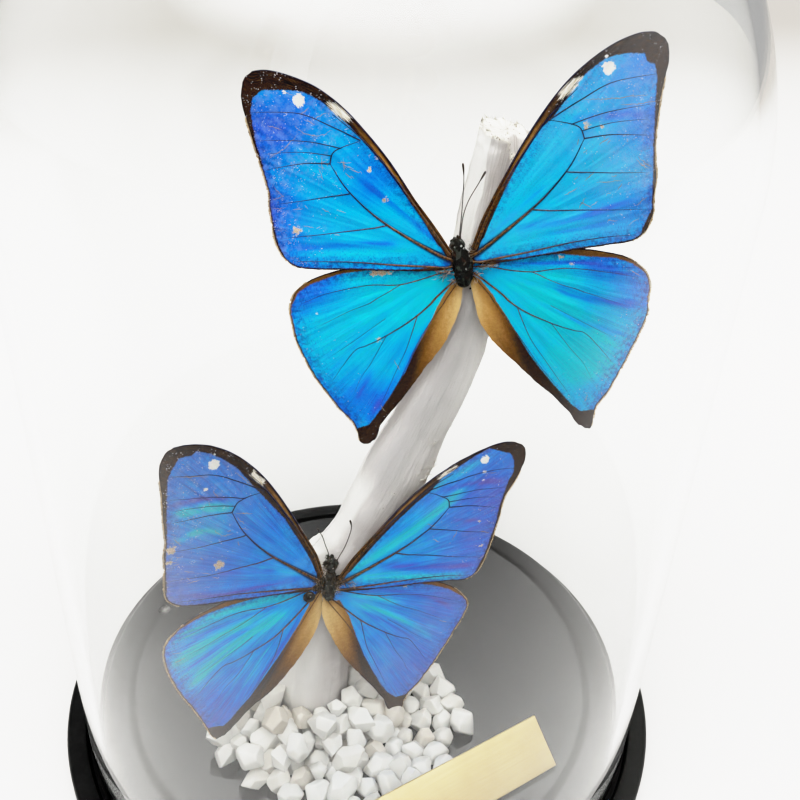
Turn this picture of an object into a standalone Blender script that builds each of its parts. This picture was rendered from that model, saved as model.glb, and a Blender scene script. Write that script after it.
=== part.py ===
"""Two blue butterflies set on a white painted branch, under a glass dome.

The black base carries a raised platform. A heap of white pebbles hides the
foot of the branch, and a small bare metal plate leans on the pebbles.
The origin is the middle of the base's underside, +Z is up, and the
butterflies show their upper sides towards -Y.
"""
import math
import random

import bpy
import bmesh
from mathutils import Matrix, Vector

MM = 0.001
GAP = 0.3                      # left between pieces that touch, in mm

# Every size below is in millimetres, every angle in degrees.
BASE_RADIUS = 70.0
FLANGE_TOP = 5.0
GROOVE_RADIUS = 65.5
GROOVE_FLOOR = 3.0
PLATFORM_RADIUS = 62.1
PLATFORM_TOP = 11.7
SHOULDER_RADIUS = 2.0
ROUND_STEPS = 56

GLASS_RADIUS = 64.8
GLASS_WALL = 2.4
DOME_SPRING = 135.0            # height at which the straight wall starts to close
DOME_STEPS = 44

BRANCH_SPINE = (               # x, y, z, radius
    (-11.4, -16.5, 8.0, 8.2),
    (-10.6, -16.3, 16.6, 7.9),
    (-9.4, -15.8, 29.0, 7.5),
    (-7.6, -15.1, 43.3, 7.2),
    (-5.1, -14.5, 54.1, 6.9),
    (-1.8, -12.9, 60.5, 6.8),
    (2.5, -10.9, 66.9, 6.7),
    (6.7, -8.8, 74.4, 6.4),
    (10.6, -6.6, 83.5, 5.9),
    (14.4, -4.9, 92.6, 5.4),
    (17.1, -3.5, 100.4, 5.1),
    (18.4, -2.6, 108.8, 4.9),
    (19.4, -1.6, 118.3, 4.7),
    (20.5, 0.0, 127.2, 4.5),
    (22.4, 2.3, 139.0, 4.2),
    (22.7, 2.6, 140.6, 3.8),
)
KNOB_FOOT = (-4.8, -14.4, 53.0)
KNOB_TIP = (-8.6, -14.4, 60.6)
KNOB_RADII = (6.0, 3.6)

HEAP_CENTRE = (-5.0, -24.0)
HEAP_RADIUS = 25.0             # out to the middles of the outermost pebbles
HEAP_LAYER = 2.4               # middles of the pebbles in the single outer layer
PILE_CENTRE = (-11.0, -17.0)   # the pebbles pile up round the branch
PILE_RADIUS = 22.0
PILE_RISE = 5.0
PEBBLE_PITCH = 5.9
PEBBLE_SHIFT = 0.7             # how far a pebble lies off its even spacing
PEBBLE_RADIUS = 3.2
PEBBLE_STRETCH = 0.14          # unevenness of a pebble along its three axes
PEBBLE_ROUGHNESS = 0.1         # and of each of its corners
HEAP_STEPS = 20

PLATE_LENGTH = 50.0
PLATE_WIDTH = 11.0
PLATE_THICKNESS = 1.0
PLATE_CORNER = (43.8, -29.7)   # lower right corner, on the platform
PLATE_TURN = 213.0             # way that the long edge runs from that corner
PLATE_LEAN = 40.0

# Wing outlines of the right side: x away from the body, y towards the head,
# measured from the hinge.
FOREWING_OUTLINE = (
    (0.4, 0.6), (2.6, 5.0), (5.8, 10.3), (9.8, 16.9), (13.6, 22.2), (17.2, 26.2),
    (21.0, 29.2), (25.0, 31.3), (28.6, 32.4), (31.0, 32.3), (32.6, 31.0), (33.1, 28.6),
    (32.7, 25.6), (32.1, 22.6), (31.6, 19.4), (31.2, 16.0), (30.9, 13.2), (31.2, 10.4),
    (30.9, 7.2), (30.9, 4.4), (29.7, 1.5), (27.6, 0.0), (24.0, -0.7), (18.0, -1.1),
    (10.0, -1.2), (1.2, -1.2),
)
HINDWING_OUTLINE = (
    (0.5, -0.4), (5.5, 0.5), (11.5, 1.1), (17.5, 1.2), (22.5, 0.3), (26.6, -1.2),
    (29.2, -3.2), (30.3, -5.8), (30.1, -8.6), (29.7, -11.9), (28.4, -15.5), (26.6, -19.3),
    (24.8, -22.6), (22.8, -26.2), (20.7, -29.3), (19.8, -31.4), (19.6, -33.2), (18.3, -33.9),
    (16.5, -32.6), (15.2, -30.2), (12.6, -26.8), (9.4, -23.2), (6.4, -19.5), (2.8, -15.0),
    (0.8, -11.0), (-0.1, -7.0), (0.0, -4.0), (0.3, -1.8),
)
FOREWING_HINGE = (1.6, 1.5)
HINDWING_HINGE = (1.6, -1.0)
WING_THICKNESS = 0.5
WING_LAYER = 0.9               # from the hindwing's middle to the forewing's

# Body: distance along the body towards the head, height above the wings, radius.
BODY_SPINE = (
    (-4.9, 1.1, 0.35), (-4.4, 1.05, 0.75), (-3.4, 0.8, 0.9), (-2.6, 0.45, 1.0),
    (-1.8, 0.0, 1.25), (-0.8, -0.3, 1.6), (0.4, -0.4, 1.7), (1.5, -0.3, 1.6),
    (2.4, -0.1, 1.3), (3.1, 0.2, 0.85), (3.7, 0.3, 1.0), (4.5, 0.3, 0.95), (5.0, 0.3, 0.5),
)
ANTENNA_RADIUS = 0.14
CLUB_RADIUS = 0.28

BUTTERFLIES = {
    "upper": {
        "place": (16.5, -8.4, 118.6),
        "turn": (80.0, -17.5, 2.2),
        "body_turn": 0.0,
        # side: lift of the wing tips, twist, forewing swing, hindwing swing
        "left": (3.0, 6.5, 11.5, 12.0),
        "right": (7.5, 3.5, -9.5, -9.0),
        # x, y and height of points from the head outwards
        "antennae": {
            "left": ((-0.4, 5.6, 0.8), (1.4, 7.9, 1.3), (2.7, 12.0, 1.8),
                     (3.3, 14.6, 2.2), (3.8, 16.6, 2.6)),
            "right": ((0.6, 5.6, 0.8), (1.8, 7.9, 0.9), (3.3, 9.9, 1.5),
                      (5.4, 12.2, 2.0), (7.0, 14.4, 2.6)),
        },
    },
    "lower": {
        "place": (-6.6, -23.6, 56.1),
        "turn": (75.5, 19.5, 11.3),
        "body_turn": 17.0,
        "left": (16.0, 4.5, -13.5, -16.0),
        "right": (-3.5, 8.5, 11.0, 12.5),
        "antennae": {
            "left": ((-2.2, 5.4, 0.8), (-2.8, 7.2, 1.3), (-3.9, 9.2, 1.8),
                     (-5.2, 10.9, 2.3), (-6.6, 12.2, 2.7)),
            "right": ((-1.2, 5.8, 0.8), (0.4, 7.6, 1.2), (1.3, 9.9, 1.8),
                      (1.0, 12.6, 2.3), (0.0, 15.0, 2.8)),
        },
    },
}


def clear_scene():
    for item in list(bpy.data.objects):
        bpy.data.objects.remove(item, do_unlink=True)


def new_collection(name):
    collection = bpy.data.collections.new(name)
    bpy.context.scene.collection.children.link(collection)
    return collection


def new_material(name, colour, roughness, metallic=0.0, transmission=0.0):
    material = bpy.data.materials.new(name)
    material.use_nodes = True
    shader = material.node_tree.nodes["Principled BSDF"]
    shader.inputs["Base Color"].default_value = (*colour, 1.0)
    shader.inputs["Roughness"].default_value = roughness
    shader.inputs["Metallic"].default_value = metallic
    shader.inputs["Transmission Weight"].default_value = transmission
    material.diffuse_color = (*colour, 1.0)
    return material


def add_object(name, data, collection, material=None):
    item = bpy.data.objects.new(name, data)
    collection.objects.link(item)
    if material is not None:
        data.materials.append(material)
    return item


def as_cutter(item):
    item.hide_render = True
    item.display_type = "WIRE"
    return item


def shade_round(mesh, angle=35.0):
    mesh.shade_smooth()
    mesh.set_sharp_from_angle(angle=math.radians(angle))


def metres(point):
    return Vector(point) * MM


# Turned pieces

def arc(centre, radius, start, end, count):
    """Points of an arc in the profile's plane, ends included."""
    points = []
    for step in range(count + 1):
        angle = math.radians(start + (end - start) * step / count)
        points.append((centre[0] + radius * math.cos(angle),
                       centre[1] + radius * math.sin(angle)))
    return points


def turned(name, profile, steps, collection, material):
    """Turn a profile of (radius, height) points, top to bottom, about Z."""
    mesh = bpy.data.meshes.new(name)
    points = [metres((radius, 0.0, height)) for radius, height in profile]
    edges = [(index, index + 1) for index in range(len(points) - 1)]
    mesh.from_pydata(points, edges, [])
    item = add_object(name, mesh, collection, material)
    screw = item.modifiers.new("Turn", "SCREW")
    screw.angle = 2.0 * math.pi
    screw.steps = steps
    screw.render_steps = steps
    screw.use_merge_vertices = True
    screw.merge_threshold = 0.00001
    screw.use_smooth_shade = True
    return item


def build_base(collection):
    material = new_material("gloss_black", (0.012, 0.012, 0.013), 0.12)
    rim = 1.2
    profile = [(0.0, PLATFORM_TOP)]
    profile += arc((PLATFORM_RADIUS - SHOULDER_RADIUS, PLATFORM_TOP - SHOULDER_RADIUS),
                   SHOULDER_RADIUS, 90.0, 0.0, 4)
    profile.append((PLATFORM_RADIUS, GROOVE_FLOOR))
    profile.append((GROOVE_RADIUS, GROOVE_FLOOR))
    profile.append((GROOVE_RADIUS, FLANGE_TOP))
    profile += arc((BASE_RADIUS - rim, FLANGE_TOP - rim), rim, 90.0, 0.0, 2)
    profile.append((BASE_RADIUS, 0.6))
    profile.append((BASE_RADIUS - 0.8, 0.0))
    profile.append((0.0, 0.0))
    return turned("base", profile, ROUND_STEPS, collection, material)


def build_dome(collection):
    material = new_material("clear_glass", (0.97, 0.99, 0.98), 0.0, transmission=1.0)
    profile = arc((0.0, DOME_SPRING), GLASS_RADIUS, 90.0, 0.0, 8)
    profile[0] = (0.0, DOME_SPRING + GLASS_RADIUS)
    profile.append((GLASS_RADIUS, GROOVE_FLOOR + GAP))
    dome = turned("glass_dome", profile, DOME_STEPS, collection, material)
    wall = dome.modifiers.new("Wall", "SOLIDIFY")
    wall.thickness = GLASS_WALL * MM
    wall.offset = -1.0
    wall.use_even_offset = True
    return dome


# Tubes and flat outlines

def tube(name, points, radii, collection, material=None, sides=4):
    """A round bar whose radius changes along its points."""
    curve = bpy.data.curves.new(name, "CURVE")
    curve.dimensions = "3D"
    curve.fill_mode = "FULL"
    curve.bevel_depth = MM
    curve.bevel_resolution = sides
    curve.use_fill_caps = True
    spline = curve.splines.new("POLY")
    spline.points.add(len(points) - 1)
    for slot, point, radius in zip(spline.points, points, radii):
        slot.co = (*metres(point), 1.0)
        slot.radius = radius
    spline.use_smooth = True
    return add_object(name, curve, collection, material)


def to_mesh(item, collection):
    """Swap a curve for its own closed mesh, where it stands."""
    bpy.context.view_layer.update()
    depsgraph = bpy.context.evaluated_depsgraph_get()
    mesh = bpy.data.meshes.new_from_object(item.evaluated_get(depsgraph))
    name = item.name
    place = item.matrix_world.copy()
    bpy.data.objects.remove(item, do_unlink=True)
    solid = bmesh.new()
    solid.from_mesh(mesh)
    bmesh.ops.remove_doubles(solid, verts=solid.verts, dist=0.000001)
    bmesh.ops.recalc_face_normals(solid, faces=solid.faces)
    solid.to_mesh(mesh)
    solid.free()
    mesh.name = name
    fresh = bpy.data.objects.new(name, mesh)
    fresh.matrix_world = place
    collection.objects.link(fresh)
    return fresh


def combine(target, tool, operation, self_crossing=False):
    step = target.modifiers.new(operation.title(), "BOOLEAN")
    step.operation = operation
    step.solver = "EXACT"
    step.use_self = self_crossing
    step.object = tool
    return step


def flat_outline(name, points, thickness, collection, material):
    """A thin flat piece inside a smooth closed outline, lying in its own XY plane."""
    curve = bpy.data.curves.new(name, "CURVE")
    curve.dimensions = "2D"
    curve.fill_mode = "BOTH"
    curve.extrude = 0.5 * thickness * MM
    curve.resolution_u = 2
    spline = curve.splines.new("BEZIER")
    spline.bezier_points.add(len(points) - 1)
    spline.use_cyclic_u = True
    for slot, point in zip(spline.bezier_points, points):
        slot.co = metres((point[0], point[1], 0.0))
        slot.handle_left_type = "AUTO"
        slot.handle_right_type = "AUTO"
    return add_object(name, curve, collection, material)


def platform_level(name, cutters):
    """A block whose top is where things stand on the platform."""
    block = bmesh.new()
    bmesh.ops.create_cube(block, size=1.0)
    size = Vector((2.0 * PLATFORM_RADIUS, 2.0 * PLATFORM_RADIUS, 20.0))
    top = PLATFORM_TOP + GAP
    for vertex in block.verts:
        vertex.co = Vector([vertex.co[axis] * size[axis] for axis in range(3)]) * MM
        vertex.co.z += (top - 0.5 * size.z) * MM
    mesh = bpy.data.meshes.new(name)
    block.to_mesh(mesh)
    block.free()
    return as_cutter(add_object(name, mesh, cutters))


# Branch

def build_branch(collection, cutters):
    material = new_material("white_paint_on_wood", (0.84, 0.82, 0.80), 0.6)
    spine = [point[:3] for point in BRANCH_SPINE]
    radii = [point[3] for point in BRANCH_SPINE]
    branch = to_mesh(tube("branch", spine, radii, collection), collection)
    knob = to_mesh(tube("knob", (KNOB_FOOT, KNOB_TIP), KNOB_RADII, cutters), cutters)
    as_cutter(knob)
    combine(branch, knob, "UNION")
    combine(branch, platform_level("platform_under_branch", cutters), "DIFFERENCE")
    branch.data.materials.append(material)
    shade_round(branch.data, 50.0)
    return branch


# Pebbles

def heap_height(x, y):
    """Height of the pebbles' middles over the platform."""
    reach = math.hypot(x - PILE_CENTRE[0], y - PILE_CENTRE[1]) / PILE_RADIUS
    return HEAP_LAYER + PILE_RISE * max(0.0, 1.0 - reach)


def pebble_spots():
    """Middles of the pebbles, row by row over the round heap."""
    pick = random.Random(507)
    spots = []
    row_gap = PEBBLE_PITCH * math.sqrt(0.75)
    rows = int(HEAP_RADIUS / row_gap) + 1
    for row in range(-rows, rows + 1):
        shift = 0.5 * PEBBLE_PITCH * (row % 2)
        for column in range(-rows, rows + 1):
            x = HEAP_CENTRE[0] + column * PEBBLE_PITCH + shift
            x += pick.uniform(-PEBBLE_SHIFT, PEBBLE_SHIFT)
            y = HEAP_CENTRE[1] + row * row_gap
            y += pick.uniform(-PEBBLE_SHIFT, PEBBLE_SHIFT)
            if math.hypot(x - HEAP_CENTRE[0], y - HEAP_CENTRE[1]) < HEAP_RADIUS:
                spots.append((x, y, PLATFORM_TOP + heap_height(x, y)))
    return spots


def add_pebble(solid, spot, pick):
    """One broken pebble of twenty faces, uneven in each direction."""
    made = bmesh.ops.create_icosphere(solid, subdivisions=1, radius=PEBBLE_RADIUS * MM)
    stretch = [1.0 + pick.uniform(-PEBBLE_STRETCH, PEBBLE_STRETCH) for axis in range(3)]
    spin = Matrix.Rotation(pick.uniform(0.0, math.pi), 3, "Z")
    tip = Matrix.Rotation(pick.uniform(0.0, math.pi), 3, "X")
    for vertex in made["verts"]:
        point = vertex.co * (1.0 + pick.uniform(-PEBBLE_ROUGHNESS, PEBBLE_ROUGHNESS))
        point = Vector([point[axis] * stretch[axis] for axis in range(3)])
        vertex.co = spin @ (tip @ point) + metres(spot)


def build_pebbles(collection, cutters):
    material = new_material("white_stone", (0.86, 0.85, 0.83), 0.75)
    pick = random.Random(519)
    floor = PLATFORM_TOP + GAP
    layer = PLATFORM_TOP + HEAP_LAYER
    bed = [(0.0, layer), (HEAP_RADIUS, layer), (HEAP_RADIUS + 0.4, floor), (0.0, floor)]
    heap = turned("pebbles", bed, HEAP_STEPS, collection, material)
    heap.location = metres((*HEAP_CENTRE, 0.0))
    cone = [(0.0, layer + PILE_RISE), (PILE_RADIUS, layer), (0.0, layer - 1.0)]
    pile = as_cutter(turned("pile", cone, HEAP_STEPS, cutters, material))
    pile.location = metres((*PILE_CENTRE, 0.0))
    combine(heap, pile, "UNION")

    stones = bmesh.new()
    for spot in pebble_spots():
        add_pebble(stones, spot, pick)
    stone_mesh = bpy.data.meshes.new("loose_pebbles")
    stones.to_mesh(stone_mesh)
    stones.free()
    loose = as_cutter(add_object("loose_pebbles", stone_mesh, cutters))
    combine(heap, loose, "UNION", self_crossing=True)

    spine = [point[:3] for point in BRANCH_SPINE[:4]]
    radii = [point[3] + GAP for point in BRANCH_SPINE[:4]]
    hole = to_mesh(tube("branch_hole", spine, radii, cutters), cutters)
    combine(heap, as_cutter(hole), "DIFFERENCE")

    recess = plate_block("plate_recess", 2.0 * GAP, cutters)
    combine(heap, as_cutter(recess), "DIFFERENCE")

    combine(heap, platform_level("platform_under_pebbles", cutters), "DIFFERENCE")
    return heap


# Plate

def plate_block(name, growth, collection, material=None):
    """The plate's block, leaning back; growth widens it all round."""
    solid = bmesh.new()
    bmesh.ops.create_cube(solid, size=1.0)
    size = Vector((PLATE_LENGTH, PLATE_WIDTH, PLATE_THICKNESS)) + Vector((growth,) * 3)
    for vertex in solid.verts:
        vertex.co = Vector([vertex.co[axis] * size[axis] * MM for axis in range(3)])
    middle = Vector((-PLATE_LENGTH, PLATE_WIDTH, -PLATE_THICKNESS)) * 0.5 * MM
    bmesh.ops.translate(solid, verts=solid.verts, vec=middle)
    mesh = bpy.data.meshes.new(name)
    solid.to_mesh(mesh)
    solid.free()
    plate = add_object(name, mesh, collection, material)
    lean = math.radians(PLATE_LEAN)
    drop = PLATE_THICKNESS * math.cos(lean)
    plate.rotation_euler = (lean, 0.0, math.radians(PLATE_TURN - 180.0))
    plate.location = metres((*PLATE_CORNER, PLATFORM_TOP + GAP + drop))
    return plate


def build_plate(collection):
    material = new_material("pale_brass", (0.80, 0.72, 0.50), 0.35, metallic=0.8)
    plate = plate_block("name_plate", 0.0, collection, material)
    edge = plate.modifiers.new("Edge", "BEVEL")
    edge.width = 0.15 * MM
    edge.segments = 1
    return plate


# Butterflies

def wing_place(hinge, layer, lift, twist, swing, side):
    """Place of a wing on its butterfly; side is 1 for the right and -1 for the left."""
    lean = Matrix.Rotation(math.radians(-lift), 3, "Y")
    roll = Matrix.Rotation(math.radians(twist), 3, "X")
    place = Vector((hinge[0], 0.0, 0.0)) + lean @ roll @ Vector((0.0, hinge[1], layer))
    place.x *= side
    angles = (math.radians(twist), math.radians(-lift * side), math.radians(swing * side))
    return place * MM, angles


def build_wing(name, outline, hinge, layer, pose, side, holder, collection, material):
    points = [(side * point[0], point[1]) for point in outline]
    if side > 0:
        points.reverse()
    wing = flat_outline(name, points, WING_THICKNESS, collection, material)
    wing.parent = holder
    wing.location, angles = wing_place(hinge, layer, *pose, side)
    wing.rotation_mode = "ZXY"
    wing.rotation_euler = angles
    return wing


def build_body(name, turn, holder, collection, material):
    points = [(0.0, point[0], point[1]) for point in BODY_SPINE]
    radii = [point[2] for point in BODY_SPINE]
    body = tube(name, points, radii, collection, material, sides=4)
    body.parent = holder
    body.rotation_euler = (0.0, 0.0, math.radians(turn))
    return body


def build_antenna(name, points, holder, collection, material):
    radii = [ANTENNA_RADIUS] * (len(points) - 2) + [CLUB_RADIUS, 0.6 * CLUB_RADIUS]
    antenna = tube(name, points, radii, collection, material, sides=1)
    antenna.parent = holder
    return antenna


def build_butterfly(name, facts, collection):
    blue = new_material(name + "_wing_blue", (0.02, 0.28, 0.80), 0.35)
    black = new_material(name + "_body_black", (0.02, 0.017, 0.015), 0.6)
    holder = bpy.data.objects.new(name + "_butterfly", None)
    holder.location = metres(facts["place"])
    holder.rotation_euler = [math.radians(angle) for angle in facts["turn"]]
    collection.objects.link(holder)
    build_body(name + "_body", facts["body_turn"], holder, collection, black)
    for label, side in (("left", -1), ("right", 1)):
        lift, twist, fore_swing, hind_swing = facts[label]
        build_wing(name + "_forewing_" + label, FOREWING_OUTLINE, FOREWING_HINGE,
                   0.5 * WING_LAYER, (lift, twist, fore_swing), side, holder, collection, blue)
        build_wing(name + "_hindwing_" + label, HINDWING_OUTLINE, HINDWING_HINGE,
                   -0.5 * WING_LAYER, (lift, twist, hind_swing), side, holder, collection, blue)
        build_antenna(name + "_antenna_" + label, facts["antennae"][label],
                      holder, collection, black)


def main():
    clear_scene()
    collection = new_collection("insect_in_glass_dome")
    cutters = new_collection("cutters")
    build_base(collection)
    build_dome(collection)
    build_branch(collection, cutters)
    build_pebbles(collection, cutters)
    build_plate(collection)
    for name, facts in BUTTERFLIES.items():
        build_butterfly(name, facts, collection)


main()
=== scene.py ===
import math

import bmesh
import bpy
import numpy as np
from mathutils import Euler, Matrix, Vector
from mathutils.geometry import delaunay_2d_cdt


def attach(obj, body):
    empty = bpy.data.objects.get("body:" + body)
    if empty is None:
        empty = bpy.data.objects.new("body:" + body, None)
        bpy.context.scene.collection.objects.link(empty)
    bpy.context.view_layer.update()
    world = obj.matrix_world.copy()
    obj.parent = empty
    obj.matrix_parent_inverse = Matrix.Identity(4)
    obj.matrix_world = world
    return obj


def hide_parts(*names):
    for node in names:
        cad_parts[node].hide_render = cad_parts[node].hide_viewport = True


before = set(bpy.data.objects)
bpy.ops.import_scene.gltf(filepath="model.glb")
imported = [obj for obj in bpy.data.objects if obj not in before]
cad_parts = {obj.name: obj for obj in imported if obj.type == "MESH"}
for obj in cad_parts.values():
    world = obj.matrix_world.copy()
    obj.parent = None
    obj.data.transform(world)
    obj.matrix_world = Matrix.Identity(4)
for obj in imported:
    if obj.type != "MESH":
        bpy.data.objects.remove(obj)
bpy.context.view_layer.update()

# All sizes are in millimetres until a mesh is made.
mm = 0.001


def tone(red, green, blue):
    # screen colour, 0 to 255, as the linear colour that a socket takes
    values = []
    for value in (red, green, blue):
        share = value / 255.0
        values.append(share / 12.92 if share < 0.04 else ((share + 0.055) / 1.055) ** 2.4)
    return (*values, 1.0)


# Node graphs

def sums(operation, flipped=False):
    # one operator between wires and numbers, or its reflected form
    def work(self, other):
        first, second = (other, self) if flipped else (self, other)
        return self.graph.add("ShaderNodeMath", {"operation": operation}, {0: first, 1: second})
    return work


class Wire:
    # one output of a node, ready for sums
    def __init__(self, graph, socket):
        self.graph = graph
        self.socket = socket

    __add__, __radd__ = sums("ADD"), sums("ADD", True)
    __sub__, __rsub__ = sums("SUBTRACT"), sums("SUBTRACT", True)
    __mul__, __rmul__ = sums("MULTIPLY"), sums("MULTIPLY", True)
    __truediv__, __rtruediv__ = sums("DIVIDE"), sums("DIVIDE", True)
    __pow__, __rpow__ = sums("POWER"), sums("POWER", True)


def setStops(elements, stops):
    while len(elements) < len(stops):
        elements.new(0.5)
    for element, (position, colour) in zip(elements, stops):
        element.position = position
        element.color = colour


class Graph:
    # adds nodes to a tree; what it gives back can be used in sums
    def __init__(self, tree):
        self.tree = tree

    def add(self, kind, settings=None, sockets=None, output=0):
        node = self.tree.nodes.new(kind)
        for name, value in (settings or {}).items():
            if name == "stops":
                setStops(node.color_ramp.elements, value)
            else:
                setattr(node, name, value)
        for name, value in (sockets or {}).items():
            if isinstance(value, Wire):
                self.tree.links.new(value.socket, node.inputs[name])
            else:
                node.inputs[name].default_value = value
        return Wire(self, node.outputs[output]) if node.outputs else None

    def field(self, name, output="Fac"):
        return self.add("ShaderNodeAttribute", {"attribute_name": name}, None, output)

    def ramp(self, value, stops):
        return self.add("ShaderNodeValToRGB", {"stops": stops}, {"Fac": value})

    def fade(self, value, low, high):
        # 0 below low, 1 above high, smooth between
        sockets = {"Value": value, "From Min": low, "From Max": high}
        return self.add("ShaderNodeMapRange", {"interpolation_type": "SMOOTHSTEP"}, sockets)

    def blend(self, share, first, second):
        sockets = {0: share, 6: first, 7: second}
        return self.add("ShaderNodeMix", {"data_type": "RGBA"}, sockets, 2)

    def stretch(self, vector, scale):
        settings = {"operation": "MULTIPLY"}
        return self.add("ShaderNodeVectorMath", settings, {0: vector, 1: scale})

    def grain(self, vector, scale, detail=2.0, roughness=0.5):
        sockets = {"Vector": vector, "Scale": scale, "Detail": detail, "Roughness": roughness}
        return self.add("ShaderNodeTexNoise", None, sockets)

    def cells(self, vector, scale):
        sockets = {"Vector": vector, "Scale": scale}
        return self.add("ShaderNodeTexVoronoi", None, sockets, "Distance")

    def axes(self, vector):
        return [self.add("ShaderNodeSeparateXYZ", None, {"Vector": vector}, axis)
                for axis in "XYZ"]

    def place(self):
        # object coordinates in millimetres
        place = self.add("ShaderNodeTexCoord", None, None, "Object")
        return self.stretch(place, (1000.0, 1000.0, 1000.0))

    def bump(self, height, strength, distance):
        sockets = {"Height": height, "Strength": strength, "Distance": distance}
        return self.add("ShaderNodeBump", None, sockets)


def shadePainter(stops, rough, change, gloss=0.5):
    # one tone for each small shape, along a ramp of its own random shade
    def paint(g):
        shade = g.field("shade")
        return {
            "Base Color": g.ramp(shade, stops),
            "Roughness": rough + shade * change,
            "Specular IOR Level": gloss,
        }
    return paint


def newMaterial(name, paint):
    # paint gets the graph and returns the sockets of the shader
    material = bpy.data.materials.new(name)
    material.use_nodes = True
    material.node_tree.nodes.clear()
    graph = Graph(material.node_tree)
    shader = graph.add("ShaderNodeBsdfPrincipled", None, paint(graph))
    graph.add("ShaderNodeOutputMaterial", None, {"Surface": shader})
    return material


class Recipe(Graph):
    # a geometry node tree with named inputs
    def __init__(self, name, inputs):
        super().__init__(bpy.data.node_groups.new(name, "GeometryNodeTree"))
        face = self.tree.interface
        face.new_socket("Geometry", in_out="INPUT", socket_type="NodeSocketGeometry")
        for label, kind in inputs.items():
            face.new_socket(label, in_out="INPUT", socket_type="NodeSocket" + kind)
        face.new_socket("Geometry", in_out="OUTPUT", socket_type="NodeSocketGeometry")
        self.source = self.tree.nodes.new("NodeGroupInput")

    def given(self, label):
        return Wire(self, self.source.outputs[label])

    def named(self, label, kind="FLOAT"):
        settings = {"data_type": kind}
        return self.add("GeometryNodeInputNamedAttribute", settings, {"Name": label})

    def chance(self, low, high, seed):
        return self.add("FunctionNodeRandomValue", None, {2: low, 3: high, 8: seed}, 1)

    def scatter(self, points, turn, scale, seed):
        # one of the shapes on each point, with a random shade
        shade = self.chance(0.0, 1.0, self.given("Seed"))
        sockets = {"Geometry": points, "Name": "shade", "Value": shade}
        points = self.add("GeometryNodeStoreNamedAttribute", None, sockets)
        sockets = {"Collection": self.given("Shapes"), "Separate Children": True,
                   "Reset Children": True}
        shapes = self.add("GeometryNodeCollectionInfo", None, sockets)
        sockets = {4: 0, 5: 99, 8: seed}
        pick = self.add("FunctionNodeRandomValue", {"data_type": "INT"}, sockets, 2)
        sockets = {"Points": points, "Instance": shapes, "Pick Instance": True,
                   "Instance Index": pick, "Rotation": turn, "Scale": scale}
        self.close(self.add("GeometryNodeInstanceOnPoints", None, sockets))

    def close(self, geometry):
        # every tree ends in plain geometry with its material
        real = self.add("GeometryNodeRealizeInstances", None, {"Geometry": geometry})
        sockets = {"Geometry": real, "Material": self.given("Finish")}
        done = self.add("GeometryNodeSetMaterial", None, sockets)
        self.add("NodeGroupOutput", None, {"Geometry": done})


# Meshes

def linked(name, mesh):
    piece = bpy.data.objects.new(name, mesh)
    bpy.context.scene.collection.objects.link(piece)
    return piece


def newMesh(name, points, faces, edges=()):
    mesh = bpy.data.meshes.new(name)
    mesh.from_pydata((np.asarray(points, float) * mm).tolist(), edges, faces)
    mesh.shade_smooth()
    return mesh


def giveFields(mesh, fields):
    # one number or vector for each point, for the nodes to read
    for label, values in fields.items():
        values = np.asarray(values, np.float32)
        kind, entry = ("FLOAT", "value") if values.ndim == 1 else ("FLOAT_VECTOR", "vector")
        mesh.attributes.new(label, kind, "POINT").data.foreach_set(entry, values.ravel())


def newPiece(name, points, faces, materials=(), fields=None, edges=()):
    faces = faces.tolist() if isinstance(faces, np.ndarray) else faces
    mesh = newMesh(name, points, faces, edges)
    for material in materials:
        mesh.materials.append(material)
    giveFields(mesh, fields or {})
    return linked(name, mesh)


def vertexRows(mesh, entry="co"):
    # the places of a mesh's vertices in metres, or their normals
    rows = np.zeros(len(mesh.vertices) * 3)
    mesh.vertices.foreach_get(entry, rows)
    return rows.reshape(-1, 3)


def joined(parts):
    # several (points, faces) as one
    points, faces = [], []
    for spots, sides in parts:
        faces += [[index + len(points) for index in face] for face in sides]
        points += np.asarray(spots).tolist()
    return points, faces


def moved(points, matrix):
    turn = np.array(matrix)
    return points @ turn[:3, :3].T + turn[:3, 3]


def unit(rows):
    return rows / np.linalg.norm(rows, axis=1)[:, None]


def grown(name, carrier, recipe, inputs):
    # the tree's result as a plain mesh; the carrier goes
    modifier = carrier.modifiers.new("Grow", "NODES")
    modifier.node_group = recipe.tree
    for socket in recipe.tree.interface.items_tree:
        if socket.item_type == "SOCKET" and socket.in_out == "INPUT" and socket.name in inputs:
            modifier[socket.identifier] = inputs[socket.name]
    bpy.context.view_layer.update()
    depsgraph = bpy.context.evaluated_depsgraph_get()
    mesh = bpy.data.meshes.new_from_object(carrier.evaluated_get(depsgraph))
    mesh.name = name
    carrier.modifiers.remove(modifier)
    bpy.data.objects.remove(carrier, do_unlink=True)
    return linked(name, mesh)


def kept(piece, slot, *nodes):
    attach(piece, "root")
    if nodes:
        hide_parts(*nodes)


def softNoise(points, size, seed=0):
    # smooth random values from -1 to 1, each swing about size long
    places = np.asarray(points, float) / size + 700.0
    cells = np.floor(places).astype(np.int64)
    share = places - cells
    share = share * share * (3.0 - 2.0 * share)
    total = np.zeros(len(places))
    for corner in range(8):
        step = np.array([corner & 1, corner >> 1 & 1, corner >> 2 & 1])
        spot = cells + step
        # a random whole number for this corner of each cell
        key = spot[:, 0] * 73856093 ^ spot[:, 1] * 19349663 ^ spot[:, 2] * 83492791
        key = (key ^ (seed + 1) * 40503) & 0xFFFFFFF
        key = (key ^ key >> 13) * 127412617 & 0xFFFFFFFF
        value = ((key ^ key >> 15) & 0xFFFF) / 32767.5 - 1.0
        total += value * np.prod(np.where(step, share, 1.0 - share), axis=1)
    return total


def deepNoise(points, size, seed=0, layers=3):
    total = np.zeros(len(points))
    for layer in range(layers):
        total += softNoise(points, size / 2 ** layer, seed + layer) / 2 ** layer
    return total


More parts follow.
